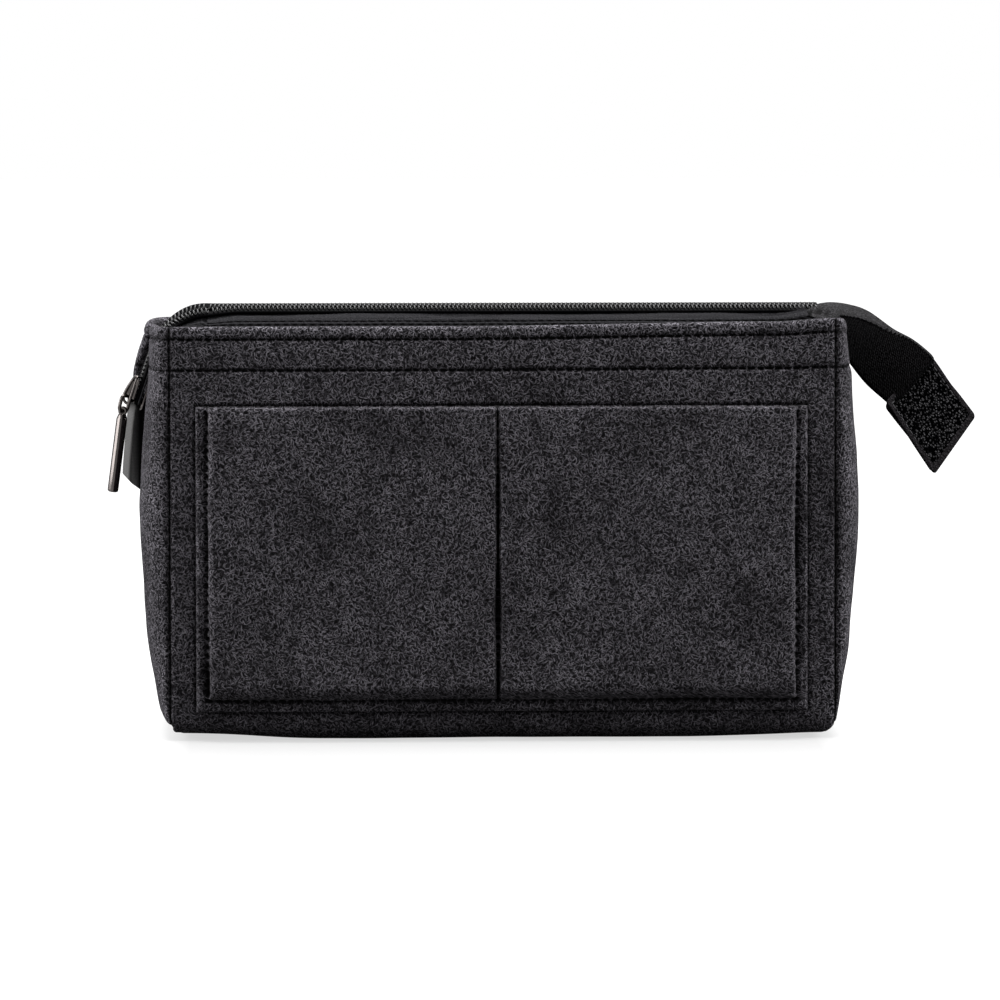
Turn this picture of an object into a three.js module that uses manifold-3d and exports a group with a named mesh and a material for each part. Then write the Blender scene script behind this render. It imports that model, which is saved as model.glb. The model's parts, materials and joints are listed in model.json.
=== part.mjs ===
// Zipped felt organizer pouch: a boxy felt pouch with bulging side gussets, a divided slip pocket on each
// face, slip pockets inside, and a coil zipper that climbs out of a slit in the left gusset, crosses the
// top and runs on past the right gusset to a stitched leatherette tab.
// Millimetres, +Z up, front face towards -Y, origin on the floor under the middle of the pouch.

import * as THREE from "three";
import { mergeVertices } from "three/addons/utils/BufferGeometryUtils.js";
import Module from "manifold-3d";

const wasm = await Module();
wasm.setup();

// Felt body
const seamWidth = 228; // between the two upright corner seams
const bodyHeight = 143;
const baseDepth = 78;
const topDepth = 66;
const felt = 3;
const gap = 0.3; // left between pieces that are sewn face to face
const bottomRadius = 7; // the walls roll under with this outer radius
const endRise = 2; // the base lifts this much at its two ends
const flatBaseHalf = 62; // the base is flat this far either side of the middle
const riseFadeHeight = 40;

// Side gussets
const gussetPeakHeight = 78;
const gussetPeak = 11.8; // how far a gusset bulges past the seam at its fullest
const gussetFoot = 4; // how far it bulges at the base
const gussetTop = 7.5; // and at the rim
const rearLip = 4.6; // how much further the left gusset's rear half stands out beside the slit
const gussetSquareness = 2.6; // 2 is an ellipse in plan, more is boxier

// Pockets
const pocketFelt = 2.4;
const pocketFlange = 3.6; // flat border outside the pocket's stitching
const pocketRoom = 4.6; // how far the felt stands off the wall between its seams
const pocketRamp = 9; // how far from a seam it takes to stand off that much
const pocketSeamHalf = 0.8; // half the width of the middle seam
const outerPocketWidth = 210;
const outerPocketBottom = 10.2;
const outerPocketTop = 116.2;
const innerPocketWidth = 200;
const innerPocketBottom = 13.5;
const innerPocketTop = 99;

// Hem facings inside the mouth
const facingThickness = 2.2;
const facingHeight = 16;

// Zipper
const toothPitch = 1.5;
const chainThickness = 2;
const chainHalfWidth = 3;
const toothReach = 0.5; // how far a tooth passes the middle of the chain
const toothClearance = 0.8; // between a tooth's tip and the root that it seats in
const tape = 0.7;
const ridgeHeight = 4.9; // the chain's middle above the body's rim
const chainTilt = THREE.MathUtils.degToRad(22); // the chain leans towards the front
const sideLean = THREE.MathUtils.degToRad(18.8); // the side run leans outwards as it goes down
const cornerRadius = 20;
const cornerInset = 12.1; // from the corner seam to where the top run starts to bend down
const sideRunLength = 21.8;
const bandEndInset = 6; // from the right corner seam to where the mouth and its bands end
const slitHalfWidth = 5.2;
const slitDepth = 34; // below the rim
const rightNotchHalfWidth = 15;
const rightNotchDepth = 20;

// Slider and pull
const sliderLength = 11.5;
const sliderNose = 9.2; // width at the end that the open tapes enter
const sliderTail = 8;
const sliderPlate = 0.9;
const crownHeight = 3.6;
const crownBar = 1.1;
const linkWire = 1.1;
const linkWidth = 5;
const linkLength = 5.2;
const barLength = 28.8;
const barWidth = 3.6;
const barLean = THREE.MathUtils.degToRad(7.4);

// Tail and tab
const tailThickness = 1.8;
const tailReach = 38; // from the right corner seam to the tab's upper corner
const tabLength = 27.5;
const tabOverhang = 0.6;
const tabLeaf = 1.3;

// Shape helpers

// A closed solid between two surfaces that share one grid of parameters.
function slab(outer, inner, us, vs) {
  const nu = us.length;
  const nv = vs.length;
  const points = [];
  for (const surface of [outer, inner]) {
    for (const v of vs) {
      for (const u of us) points.push(...surface(u, v));
    }
  }
  const at = (side, i, j) => side * nu * nv + j * nu + i;
  const index = [];
  const quad = (a, b, c, d) => index.push(a, b, c, a, c, d);
  for (let j = 0; j < nv - 1; j++) {
    for (let i = 0; i < nu - 1; i++) {
      quad(at(0, i, j), at(0, i + 1, j), at(0, i + 1, j + 1), at(0, i, j + 1));
      quad(at(1, i, j), at(1, i, j + 1), at(1, i + 1, j + 1), at(1, i + 1, j));
    }
  }
  for (let i = 0; i < nu - 1; i++) {
    quad(at(0, i, 0), at(1, i, 0), at(1, i + 1, 0), at(0, i + 1, 0));
    quad(at(0, i + 1, nv - 1), at(1, i + 1, nv - 1), at(1, i, nv - 1), at(0, i, nv - 1));
  }
  for (let j = 0; j < nv - 1; j++) {
    quad(at(0, 0, j + 1), at(1, 0, j + 1), at(1, 0, j), at(0, 0, j));
    quad(at(0, nu - 1, j), at(1, nu - 1, j), at(1, nu - 1, j + 1), at(0, nu - 1, j + 1));
  }
  const geometry = new THREE.BufferGeometry();
  geometry.setAttribute("position", new THREE.Float32BufferAttribute(points, 3));
  geometry.setIndex(index);
  return outwards(geometry);
}

// The signed volume of a closed geometry, positive when its faces point out.
function signedVolume(geometry) {
  const g = geometry.index ? geometry.toNonIndexed() : geometry;
  const p = g.getAttribute("position");
  const corner = [new THREE.Vector3(), new THREE.Vector3(), new THREE.Vector3()];
  let sum = 0;
  for (let i = 0; i < p.count; i += 3) {
    corner.forEach((c, k) => c.fromBufferAttribute(p, i + k));
    sum += corner[0].dot(corner[1].cross(corner[2]));
  }
  return sum / 6;
}

// Turns every face round if the solid is inside out.
function outwards(geometry) {
  if (signedVolume(geometry) >= 0) return geometry;
  const order = geometry.index.array;
  for (let i = 0; i < order.length; i += 3) {
    [order[i + 1], order[i + 2]] = [order[i + 2], order[i + 1]];
  }
  return geometry;
}

function merged(geometry) {
  const bare = geometry.clone();
  bare.deleteAttribute("normal");
  bare.deleteAttribute("uv");
  return outwards(mergeVertices(bare, 1e-4));
}

function toSolid(geometry) {
  const g = merged(geometry);
  return new wasm.Manifold(
    new wasm.Mesh({
      numProp: 3,
      vertProperties: new Float32Array(g.attributes.position.array),
      triVerts: new Uint32Array(g.index.array),
    }),
  );
}

function toGeometry(solid) {
  const mesh = solid.getMesh();
  const geometry = new THREE.BufferGeometry();
  geometry.setAttribute("position", new THREE.BufferAttribute(mesh.vertProperties, 3));
  geometry.setIndex(new THREE.BufferAttribute(mesh.triVerts, 1));
  return geometry;
}

const cut = (a, ...tools) => toGeometry(tools.reduce((s, t) => s.subtract(toSolid(t)), toSolid(a)));
const join = (a, ...others) => toGeometry(others.reduce((s, t) => s.add(toSolid(t)), toSolid(a)));

// Evenly spaced stops from a to b.
const stops = (a, b, n) => Array.from({ length: n + 1 }, (_, i) => a + ((b - a) * i) / n);
const smooth = (t) => {
  const c = Math.min(1, Math.max(0, t));
  return c * c * (3 - 2 * c);
};

// Half the body's outer depth at height z, following the rolled bottom edge.
function halfDepth(z) {
  if (z < bottomRadius) {
    const drop = bottomRadius - z;
    return baseDepth / 2 - bottomRadius + Math.sqrt(bottomRadius ** 2 - drop ** 2);
  }
  const share = (z - bottomRadius) / (bodyHeight - bottomRadius);
  return baseDepth / 2 - ((baseDepth - topDepth) / 2) * share;
}

// How much the felt is lifted near the ends of the base.
function endLift(x, z) {
  const along = smooth((Math.abs(x) - flatBaseHalf) / (seamWidth / 2 - flatBaseHalf));
  return endRise * along * Math.max(0, 1 - z / riseFadeHeight);
}

// Walls and base

// A point of a wall's section: v from 0 at the rim to 1 where the roll under the base ends,
// and inset from the outer face.
function wallSection(v, inset) {
  const rollShare = 0.2;
  if (v < 1 - rollShare) {
    const z = bodyHeight + (bottomRadius - bodyHeight) * (v / (1 - rollShare));
    return [-halfDepth(z) + inset, z];
  }
  const angle = ((v - 1 + rollShare) / rollShare) * (Math.PI / 2);
  const r = bottomRadius - inset;
  const centre = -(baseDepth / 2 - bottomRadius);
  return [centre - r * Math.cos(angle), bottomRadius - r * Math.sin(angle)];
}

function wall(facing) {
  const xs = [...stops(-seamWidth / 2, -flatBaseHalf, 6), ...stops(flatBaseHalf, seamWidth / 2, 6)];
  const vs = [0, 0.25, 0.5, 0.6, 0.68, 0.74, ...stops(0.8, 1, 5)];
  const surface = (inset) => (x, v) => {
    const [y, z] = wallSection(v, inset);
    return [x, facing * -y, z + endLift(x, z)];
  };
  return slab(surface(0), surface(felt), xs, vs);
}

function basePanel() {
  const half = baseDepth / 2 - bottomRadius - gap;
  const xs = [...stops(-seamWidth / 2, -flatBaseHalf, 6), ...stops(flatBaseHalf, seamWidth / 2, 6)];
  const face = (z) => (x, y) => [x, y, z + endLift(x, 0)];
  return slab(face(0), face(felt), xs, [-half, half]);
}

// Gussets

const slitBottom = bodyHeight - slitDepth;
const lipStart = 0.03; // the share of the way to the rear seam where the slit's rear lip is at its full

function gussetBulge(z) {
  if (z < gussetPeakHeight) {
    const below = (gussetPeakHeight - z) / gussetPeakHeight;
    return gussetPeak - (gussetPeak - gussetFoot) * below ** 2;
  }
  const above = (z - gussetPeakHeight) / (bodyHeight - gussetPeakHeight);
  return gussetPeak - (gussetPeak - gussetTop) * smooth(above);
}

// How much further the left gusset stands out just behind the slit: most at the slit's middle height.
function slitLip(side, u, z) {
  if (side > 0 || u <= 0 || z < slitBottom) return 0;
  return rearLip * Math.min(1, u / lipStart) * Math.sin((Math.PI * (bodyHeight - z)) / slitDepth);
}

// Half the body's inner depth at height z, round the inside of the rolled bottom edge.
function innerHalfDepth(z) {
  if (z >= bottomRadius) return halfDepth(z) - felt;
  const radius = bottomRadius - felt;
  const drop = Math.min(bottomRadius - z, radius);
  return baseDepth / 2 - bottomRadius + Math.sqrt(radius ** 2 - drop ** 2);
}

// A gusset's plan is half a superellipse from one corner seam to the other; u runs -1 to 1.
function gussetPoint(side, u, z, isInner) {
  const angle = (u * Math.PI) / 2;
  const power = 2 / gussetSquareness;
  const seamHeight = z - endLift(seamWidth / 2, z);
  const bulge = gussetBulge(z) + slitLip(side, u, z) - (isInner ? felt : 0);
  const depth = isInner ? innerHalfDepth(seamHeight) - gap : halfDepth(seamHeight);
  const out = bulge * Math.abs(Math.cos(angle)) ** power;
  const across = depth * Math.abs(Math.sin(angle)) ** power;
  return [side * (seamWidth / 2 + gap + out), Math.sign(u) * across, z];
}

function gusset(side) {
  const bottom = felt + gap + endRise;
  const us = [...stops(-1, 0, 9), lipStart, ...stops(0, 1, 9).slice(1)];
  const shares = [0, 0.03, 0.09, 0.17, 0.3, 0.45, 0.6, 0.8];
  const low = shares.map((share) => bottom + (slitBottom - bottom) * share);
  const zs = [...low, ...stops(slitBottom, bodyHeight, 6)];
  const surface = (isInner) => (u, z) => gussetPoint(side, u, z, isInner);
  return slab(surface(false), surface(true), us, zs);
}

// A prism along X whose section is a list of [y, z] points, from x0 to x1.
function prismAlongX(section, x0, x1) {
  const shape = new THREE.Shape(section.map(([y, z]) => new THREE.Vector2(y, z)));
  const g = new THREE.ExtrudeGeometry(shape, { depth: x1 - x0, bevelEnabled: false });
  const basis = new THREE.Matrix4().makeBasis(
    new THREE.Vector3(0, 1, 0),
    new THREE.Vector3(0, 0, 1),
    new THREE.Vector3(1, 0, 0),
  );
  return g.applyMatrix4(basis).translate(x0, 0, 0);
}

const aboveRim = bodyHeight + 5;
const leftSlit = prismAlongX(
  [
    [-slitHalfWidth, aboveRim],
    [-slitHalfWidth, slitBottom],
    [slitHalfWidth, slitBottom],
    [slitHalfWidth, aboveRim],
  ],
  -seamWidth,
  -seamWidth / 2,
);
const rightNotchFloor = bodyHeight - rightNotchDepth;
const rightNotch = prismAlongX(
  [
    [-rightNotchHalfWidth, aboveRim],
    [-rightNotchHalfWidth + 2, rightNotchFloor],
    [rightNotchHalfWidth - 2, rightNotchFloor],
    [rightNotchHalfWidth, aboveRim],
  ],
  seamWidth / 2,
  seamWidth,
);

// Pockets

// A slip pocket: felt sewn down along both sides, the bottom and a middle seam, standing off in between.
// outwardSide is +1 on the outside of a wall and -1 on the inside.
function pocket(facing, outwardSide, width, bottom, top) {
  const half = width / 2;
  const besideSeam = stops(0, pocketRamp, 3);
  const atSide = besideSeam.map((d) => pocketFlange + d - half);
  const atMiddle = besideSeam.map((d) => -d - pocketSeamHalf).reverse();
  const left = [-half, ...atSide, ...atMiddle];
  const xs = [...left, ...left.map((x) => -x).reverse()];
  const bottomRamp = 1.6 * pocketRamp;
  const zs = [bottom, ...stops(bottom + pocketFlange, bottom + pocketFlange + bottomRamp, 3), top];
  const standOff = (x, z) => {
    const fromSide = smooth((half - pocketFlange - Math.abs(x)) / pocketRamp);
    const fromMiddle = smooth((Math.abs(x) - pocketSeamHalf) / pocketRamp);
    const fromBottom = smooth((z - bottom - pocketFlange) / bottomRamp);
    return gap + pocketRoom * Math.min(fromSide, fromMiddle) * fromBottom;
  };
  const surface = (extra) => (x, z) => {
    const wallFace = outwardSide > 0 ? halfDepth(z) : halfDepth(z) - felt;
    return [x, facing * (wallFace + outwardSide * (standOff(x, z) + extra)), z];
  };
  return slab(surface(0), surface(pocketFelt), xs, zs);
}

// A felt strip inside the rim that the zipper's band is sewn to.
function hemFacing(facing) {
  const top = bodyHeight - 1;
  const half = seamWidth / 2 - 2;
  const surface = (inset) => (x, z) => [x, facing * (halfDepth(z) - felt - gap - inset), z];
  return slab(surface(0), surface(facingThickness), [-half, half], [top - facingHeight, top]);
}

// Zipper path: a straight side run, a corner arc and the top run, all in the plane y = 0

const sideUp = new THREE.Vector3(Math.sin(sideLean), 0, Math.cos(sideLean));
const sideOut = new THREE.Vector3(-Math.cos(sideLean), 0, Math.sin(sideLean));
const topStart = new THREE.Vector3(cornerInset - seamWidth / 2, 0, bodyHeight + ridgeHeight);
const cornerCentre = topStart.clone().add(new THREE.Vector3(0, 0, -cornerRadius));
const cornerStart = cornerCentre.clone().addScaledVector(sideOut, cornerRadius);
const sideStart = cornerStart.clone().addScaledVector(sideUp, -sideRunLength);
const cornerAngle = Math.PI / 2 - sideLean;
const cornerLength = cornerRadius * cornerAngle;
const bandRightEnd = seamWidth / 2 - bandEndInset;
const topLength = bandRightEnd - topStart.x;

// Where the path is at length s, with the chain's outward normal and its lean there.
function zipFrame(s) {
  if (s <= sideRunLength) {
    return { at: sideStart.clone().addScaledVector(sideUp, s), normal: sideOut.clone(), lean: 0 };
  }
  const round = Math.min(s - sideRunLength, cornerLength);
  const angle = round / cornerRadius;
  const normal = sideOut.clone().applyAxisAngle(new THREE.Vector3(0, 1, 0), angle);
  const at = cornerCentre.clone().addScaledVector(normal, cornerRadius);
  const beyond = s - sideRunLength - round;
  const lean = chainTilt * smooth(round / cornerLength);
  return { at: at.add(new THREE.Vector3(beyond, 0, 0)), normal, lean };
}

// A point beside the path: across is positive towards the rear, out is along the outward normal.
function besideZip(s, across, out) {
  const { at, normal, lean } = zipFrame(s);
  const y = across * Math.cos(lean) - out * Math.sin(lean);
  const n = across * Math.sin(lean) + out * Math.cos(lean);
  return [at.x + normal.x * n, y, at.z + normal.z * n];
}

// How far from the middle, on its own side, one chain half ends at the n-th half pitch: at a tooth's tip
// past the middle, or at a root. The rear half's tips stand at the front half's roots.
function toothEdge(side, n) {
  const isTip = (n % 2 === 0) === (side < 0);
  return isTip ? -toothReach : toothReach + toothClearance;
}

// The half pitches that fit between two lengths of the path.
function halfPitches(from, to) {
  const first = Math.ceil((2 * from) / toothPitch);
  const last = Math.floor((2 * to) / toothPitch);
  return Array.from({ length: last - first + 1 }, (_, i) => first + i);
}

// One half of the chain round the corner: its toothed edge and its sewn edge bend with the path.
function cornerChainHalf(side, from, to) {
  const surface = (out) => (n, edge) => {
    const across = edge === 0 ? toothEdge(side, n) : chainHalfWidth;
    return besideZip((n * toothPitch) / 2, side * across, out);
  };
  return slab(surface(chainThickness / 2), surface(-chainThickness / 2), halfPitches(from, to), [0, 1]);
}

// One half of the chain along the straight top run.
function topChainHalf(side, from, to) {
  const ns = halfPitches(from, to);
  const teeth = ns.map((n) => new THREE.Vector2((n * toothPitch) / 2, side * toothEdge(side, n)));
  const sewnEdge = [to, from].map((s) => new THREE.Vector2(s, side * chainHalfWidth));
  const shape = new THREE.Shape([...teeth, ...sewnEdge]);
  const half = new THREE.ExtrudeGeometry(shape, { depth: chainThickness, bevelEnabled: false });
  const position = half.getAttribute("position");
  for (let i = 0; i < position.count; i++) {
    const out = position.getZ(i) - chainThickness / 2;
    position.setXYZ(i, ...besideZip(position.getX(i), position.getY(i), out));
  }
  return merged(half);
}

// Bands: the fabric between the hem facings and the chain

const bandHem = { across: topDepth / 2 - felt - gap - facingThickness / 2, height: bodyHeight - 1 + gap };
const tapeInner = 1.1; // the tapes lie under the chain up to this far from its middle
const tapeDrop = chainThickness / 2 + gap;

function band(side) {
  const from = sideRunLength + cornerLength + gap;
  const to = sideRunLength + cornerLength + topLength;
  const surface = (lift) => (s, v) => {
    const shoulder = besideZip(s, side * (chainHalfWidth + 1), -tapeDrop - tape + lift);
    if (v <= 1) {
      const edge = besideZip(s, side * tapeInner, -tapeDrop - tape + lift);
      return edge.map((e, k) => e + (shoulder[k] - e) * v);
    }
    const hem = [shoulder[0], side * bandHem.across, bandHem.height + lift];
    return shoulder.map((e, k) => e + (hem[k] - e) * (v - 1));
  };
  return slab(surface(tape), surface(0), [from, to], [0, 1, 2]);
}

// The tape round the left corner: from the band's end, along the gusset's rim and down the slit.
function cornerTape(side) {
  const from = 1;
  const curveEnd = sideRunLength + cornerLength;
  const ss = [...stops(from, sideRunLength, 3), ...stops(sideRunLength, curveEnd, 9).slice(1)];
  const slitEdge = slitHalfWidth - gap;
  const surface = (lift) => (s, v) => {
    const out = -tapeDrop - tape + lift;
    const inner = besideZip(s, side * tapeInner, out);
    const shoulder = besideZip(s, side * (chainHalfWidth + 1), out);
    if (v <= 1) return inner.map((e, k) => e + (shoulder[k] - e) * v);
    const open = smooth((s - sideRunLength) / cornerLength);
    const narrow = besideZip(s, side * slitEdge, out);
    const hem = [narrow[0], side * bandHem.across, bandHem.height + lift];
    const edge = [0, 1, 2].map((k) => narrow[k] + (hem[k] - narrow[k]) * open);
    return shoulder.map((e, k) => e + (edge[k] - e) * (v - 1));
  };
  return slab(surface(tape), surface(0), ss, [0, 1, 1.5, 2]);
}

// Slider: two plates on a post, with side flanges that leave a slot for the tapes, and a crown

function sliderOutline(grow) {
  const shape = new THREE.Shape();
  const half = sliderLength / 2 + grow;
  const nose = sliderNose / 2 + grow;
  const tail = sliderTail / 2 + grow;
  shape.moveTo(-half, -nose + 1.5);
  shape.quadraticCurveTo(-half, -nose, -half + 1.5, -nose);
  shape.lineTo(-0.5, -nose);
  shape.lineTo(1.5, -tail);
  shape.lineTo(half - 1, -tail);
  shape.quadraticCurveTo(half, -tail, half, -tail + 1);
  shape.lineTo(half, tail - 1);
  shape.quadraticCurveTo(half, tail, half - 1, tail);
  shape.lineTo(1.5, tail);
  shape.lineTo(-0.5, nose);
  shape.lineTo(-half + 1.5, nose);
  shape.quadraticCurveTo(-half, nose, -half, nose - 1.5);
  shape.closePath();
  return shape;
}

const box = (w, d, h) => new THREE.BoxGeometry(w, d, h);

// The slider's own frame: x up the chain, y across, z outward.
function sliderGeometry() {
  const channel = chainThickness / 2 + gap;
  const plate = new THREE.ExtrudeGeometry(sliderOutline(0), {
    depth: sliderPlate,
    bevelEnabled: false,
    curveSegments: 4,
  });
  const outerPlate = plate.clone().translate(0, 0, channel);
  const innerPlate = plate.clone().translate(0, 0, -channel - tape - 2 * gap - sliderPlate);
  const flangeHeight = channel + sliderPlate / 2 + tapeDrop - gap;
  const flanges = [-1, 1].map((side) =>
    box(sliderLength - 3, 0.7, flangeHeight).translate(
      0.7,
      side * (sliderTail / 2 - 0.35),
      channel + sliderPlate / 2 - flangeHeight / 2,
    ),
  );
  const postHeight = 2 * channel + tape + 2 * gap + sliderPlate;
  const post = new THREE.CylinderGeometry(0.8, 0.8, postHeight, 8);
  post.rotateX(Math.PI / 2).translate(-sliderLength / 2 + 1.6, 0, channel + sliderPlate / 2 - postHeight / 2);
  const foot = channel + sliderPlate / 2;
  const arch = new THREE.CatmullRomCurve3([
    new THREE.Vector3(3.4, 0, foot),
    new THREE.Vector3(3, 0, foot + 1.4),
    new THREE.Vector3(0.8, 0, foot + crownHeight - 0.9),
    new THREE.Vector3(-2.6, 0, foot + crownHeight),
    new THREE.Vector3(-4.4, 0, foot + crownHeight - 1.6),
    new THREE.Vector3(-4.3, 0, foot),
  ]);
  const bar = new THREE.Shape();
  bar.moveTo(-crownBar / 2, -0.9);
  bar.lineTo(crownBar / 2, -0.9);
  bar.lineTo(crownBar / 2, 0.9);
  bar.lineTo(-crownBar / 2, 0.9);
  const crown = new THREE.ExtrudeGeometry(bar, { steps: 16, extrudePath: arch });
  return join(outerPlate, innerPlate, ...flanges, post, crown);
}

// Zip pull: a wire link through the crown and a round bar on the link

const linkPivotLocal = [-2.9, chainThickness / 2 + gap + sliderPlate + 1.15]; // up the chain, outward
const sliderCentre = 5;

function onSlider(up, out) {
  const [x, , z] = besideZip(sliderCentre + up, 0, out);
  return [x, z];
}

const linkPivot = onSlider(...linkPivotLocal);
const linkLean = barLean + THREE.MathUtils.degToRad(6);
const linkDown = [-Math.sin(linkLean), -Math.cos(linkLean)];
const barPivot = [linkPivot[0] + linkDown[0] * linkLength, linkPivot[1] + linkDown[1] * linkLength];

// A closed ring of round wire: two ends along Y, linkLength apart along the link's own x.
function linkGeometry() {
  const half = (linkWidth - linkWire) / 2;
  const bend = 0.9;
  const corners = [
    new THREE.Vector3(0, -half, 0),
    new THREE.Vector3(0, half, 0),
    new THREE.Vector3(linkLength, half, 0),
    new THREE.Vector3(linkLength, -half, 0),
  ];
  const near = (a, b) => a.clone().add(b.clone().sub(a).setLength(bend));
  const points = corners.flatMap((corner, i) => {
    const start = near(corner, corners[(i + 3) % 4]);
    const end = near(corner, corners[(i + 1) % 4]);
    return new THREE.QuadraticBezierCurve3(start, corner, end).getPoints(3);
  });
  return tubeRing(points, linkWire / 2, 8);
}

// A closed tube round a flat loop of points in the xy plane.
function tubeRing(points, radius, sides) {
  const n = points.length;
  const rows = [];
  for (let i = 0; i < n; i++) {
    const tangent = points[(i + 1) % n].clone().sub(points[(i + n - 1) % n]).normalize();
    const outward = new THREE.Vector3(tangent.y, -tangent.x, 0);
    for (let k = 0; k < sides; k++) {
      const a = (2 * Math.PI * k) / sides;
      const p = points[i].clone().addScaledVector(outward, radius * Math.cos(a));
      rows.push(p.x, p.y, p.z + radius * Math.sin(a));
    }
  }
  const index = [];
  for (let i = 0; i < n; i++) {
    for (let k = 0; k < sides; k++) {
      const a = i * sides + k;
      const b = i * sides + ((k + 1) % sides);
      const c = ((i + 1) % n) * sides + ((k + 1) % sides);
      const d = ((i + 1) % n) * sides + k;
      index.push(a, b, c, a, c, d);
    }
  }
  const geometry = new THREE.BufferGeometry();
  geometry.setAttribute("position", new THREE.Float32BufferAttribute(rows, 3));
  geometry.setIndex(index);
  return outwards(geometry);
}

// The pull bar hangs along its own -z from the eye's centre.
function barGeometry() {
  const r = barWidth / 2;
  const eye = 1.5;
  const profile = [
    [0, -barLength],
    [r - 0.5, -barLength],
    [r, -barLength + 0.5],
    [r, -3.4],
    [1.1, -2.2],
    [0, -2.2],
  ].map(([x, y]) => new THREE.Vector2(x, y));
  const rod = new THREE.LatheGeometry(profile, 14).rotateX(Math.PI / 2);
  const tongue = new THREE.CylinderGeometry(eye, eye, 1.8, 16);
  const neck = box(1.9, 1.8, 2.6).translate(0, 0, -2.1);
  const hole = new THREE.CylinderGeometry(linkWire / 2 + gap, linkWire / 2 + gap, 4, 12);
  return cut(join(rod, tongue, neck), hole);
}

// Tail: both tapes run on past the right gusset, rolled over the chain, to the tab

// Each edge's points are given from the right corner seam, the middle plane and the rim, as shares of the
// tail's reach.
const fromRightRim = ([x, y, z]) =>
  new THREE.Vector3(seamWidth / 2, 0, bodyHeight).addScaledVector(new THREE.Vector3(x, y, z), tailReach);
const tailStart = (2 * gap - bandEndInset) / tailReach;
const tailUpper = new THREE.CatmullRomCurve3(
  [
    [tailStart, 0.316, 0.121],
    [0.047, 0.303, 0.142],
    [0.258, 0.263, 0.134],
    [0.429, 0.211, 0.082],
    [0.658, 0.158, -0.095],
    [0.842, 0.126, -0.205],
    [1, 0.092, -0.347],
  ].map(fromRightRim),
);
const tailLower = new THREE.CatmullRomCurve3(
  [
    [tailStart, -0.316, 0.079],
    [-0.016, -0.316, -0.026],
    [0.095, -0.289, -0.189],
    [0.218, -0.289, -0.368],
    [0.379, -0.303, -0.574],
    [0.571, -0.316, -0.747],
  ].map(fromRightRim),
);

// The tail's surface at share t of its length and share w of its width, offset along its normal.
function tailPoint(t, w, offset) {
  const upper = tailUpper.getPoint(t);
  const lower = tailLower.getPoint(t);
  const crown = 1.6 * Math.sin(Math.PI * w);
  const along = tailUpper.getTangent(t).add(tailLower.getTangent(t)).normalize();
  const normal = upper.clone().sub(lower).cross(along).normalize();
  if (normal.z < 0) normal.negate();
  return upper.lerp(lower, w).addScaledVector(normal, crown + offset).toArray();
}

function tailGeometry() {
  const surface = (offset) => (t, w) => tailPoint(t, w, offset);
  return slab(surface(tailThickness / 2), surface(-tailThickness / 2), stops(0, 1, 12), stops(0, 1, 4));
}

const tabUpper = tailUpper.getPoint(1);
const tabLower = tailLower.getPoint(1);
const tabAcross = tabLower.clone().sub(tabUpper).normalize();
const tabAlong = new THREE.Vector3(0.63, -0.05, -0.776);
tabAlong.addScaledVector(tabAcross, -tabAlong.dot(tabAcross)).normalize();
const tabNormal = tabAcross.clone().cross(tabAlong).normalize();
if (tabNormal.z < 0) tabNormal.negate();
const tabWidth = tabUpper.distanceTo(tabLower) + 2 * tabOverhang;
const tabMiddle = tabUpper.clone().lerp(tabLower, 0.5).addScaledVector(tabNormal, 0.4);

// One leaf of the folded leatherette tab: a rounded rectangle, on the upper or lower face.
function tabLeafGeometry(upperLeaf) {
  const r = 1.6;
  const w = tabWidth / 2;
  const shape = new THREE.Shape();
  shape.moveTo(r, -w);
  shape.lineTo(tabLength - r, -w);
  shape.absarc(tabLength - r, -w + r, r, -Math.PI / 2, 0, false);
  shape.lineTo(tabLength, w - r);
  shape.absarc(tabLength - r, w - r, r, 0, Math.PI / 2, false);
  shape.lineTo(r, w);
  shape.absarc(r, w - r, r, Math.PI / 2, Math.PI, false);
  shape.lineTo(0, -w + r);
  shape.absarc(r, -w + r, r, Math.PI, 1.5 * Math.PI, false);
  const leaf = new THREE.ExtrudeGeometry(shape, { depth: tabLeaf, bevelEnabled: false, curveSegments: 4 });
  const offset = upperLeaf ? gap / 2 : -gap / 2 - tabLeaf;
  const basis = new THREE.Matrix4().makeBasis(tabAlong, tabAcross, tabAlong.clone().cross(tabAcross));
  const flip = tabAlong.clone().cross(tabAcross).dot(tabNormal) > 0 ? offset : -offset - tabLeaf;
  leaf.translate(0, 0, flip).applyMatrix4(basis);
  return leaf.translate(...tabMiddle.clone().addScaledVector(tabAlong, gap + 0.2).toArray());
}

// End flap: the two tape ends below the slider, laid together and cut on a slant

const flapLength = 28;
const flapWidth = 14;
const flapThickness = 1.6;
const flapTurn = THREE.MathUtils.degToRad(20); // its free edge stands off the gusset
const flapTop = sideStart.z - 1.8; // just under the slider

function endFlap() {
  const shape = new THREE.Shape();
  shape.moveTo(0, 0);
  shape.lineTo(flapWidth, 0);
  shape.lineTo(flapWidth, -flapLength + 5.5);
  shape.lineTo(flapWidth - 8, -flapLength);
  shape.lineTo(0, -flapLength);
  const leaf = new THREE.ExtrudeGeometry(shape, { depth: flapThickness, bevelEnabled: false });
  leaf.translate(0, 0, -flapThickness / 2);
  leaf.rotateX(Math.PI / 2);
  return leaf;
}

// Materials

function material(color, roughness, metalness) {
  return new THREE.MeshStandardMaterial({ color, roughness, metalness });
}
const feltGrey = material(0x46454a, 0.95, 0);
const bandBlack = material(0x2c2b2e, 0.9, 0);
const coilBlack = material(0x17171a, 0.45, 0);
const gunmetal = material(0x5b5453, 0.25, 1);
const leatherette = material(0x1b1a1c, 0.55, 0);

const pouch = new THREE.Group();

function add(name, geometry, finish, parent = pouch) {
  const mesh = new THREE.Mesh(geometry, finish);
  mesh.name = name;
  parent.add(mesh);
  return mesh;
}

const front = -1;
const rear = 1;
const left = -1;
const right = 1;

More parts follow.
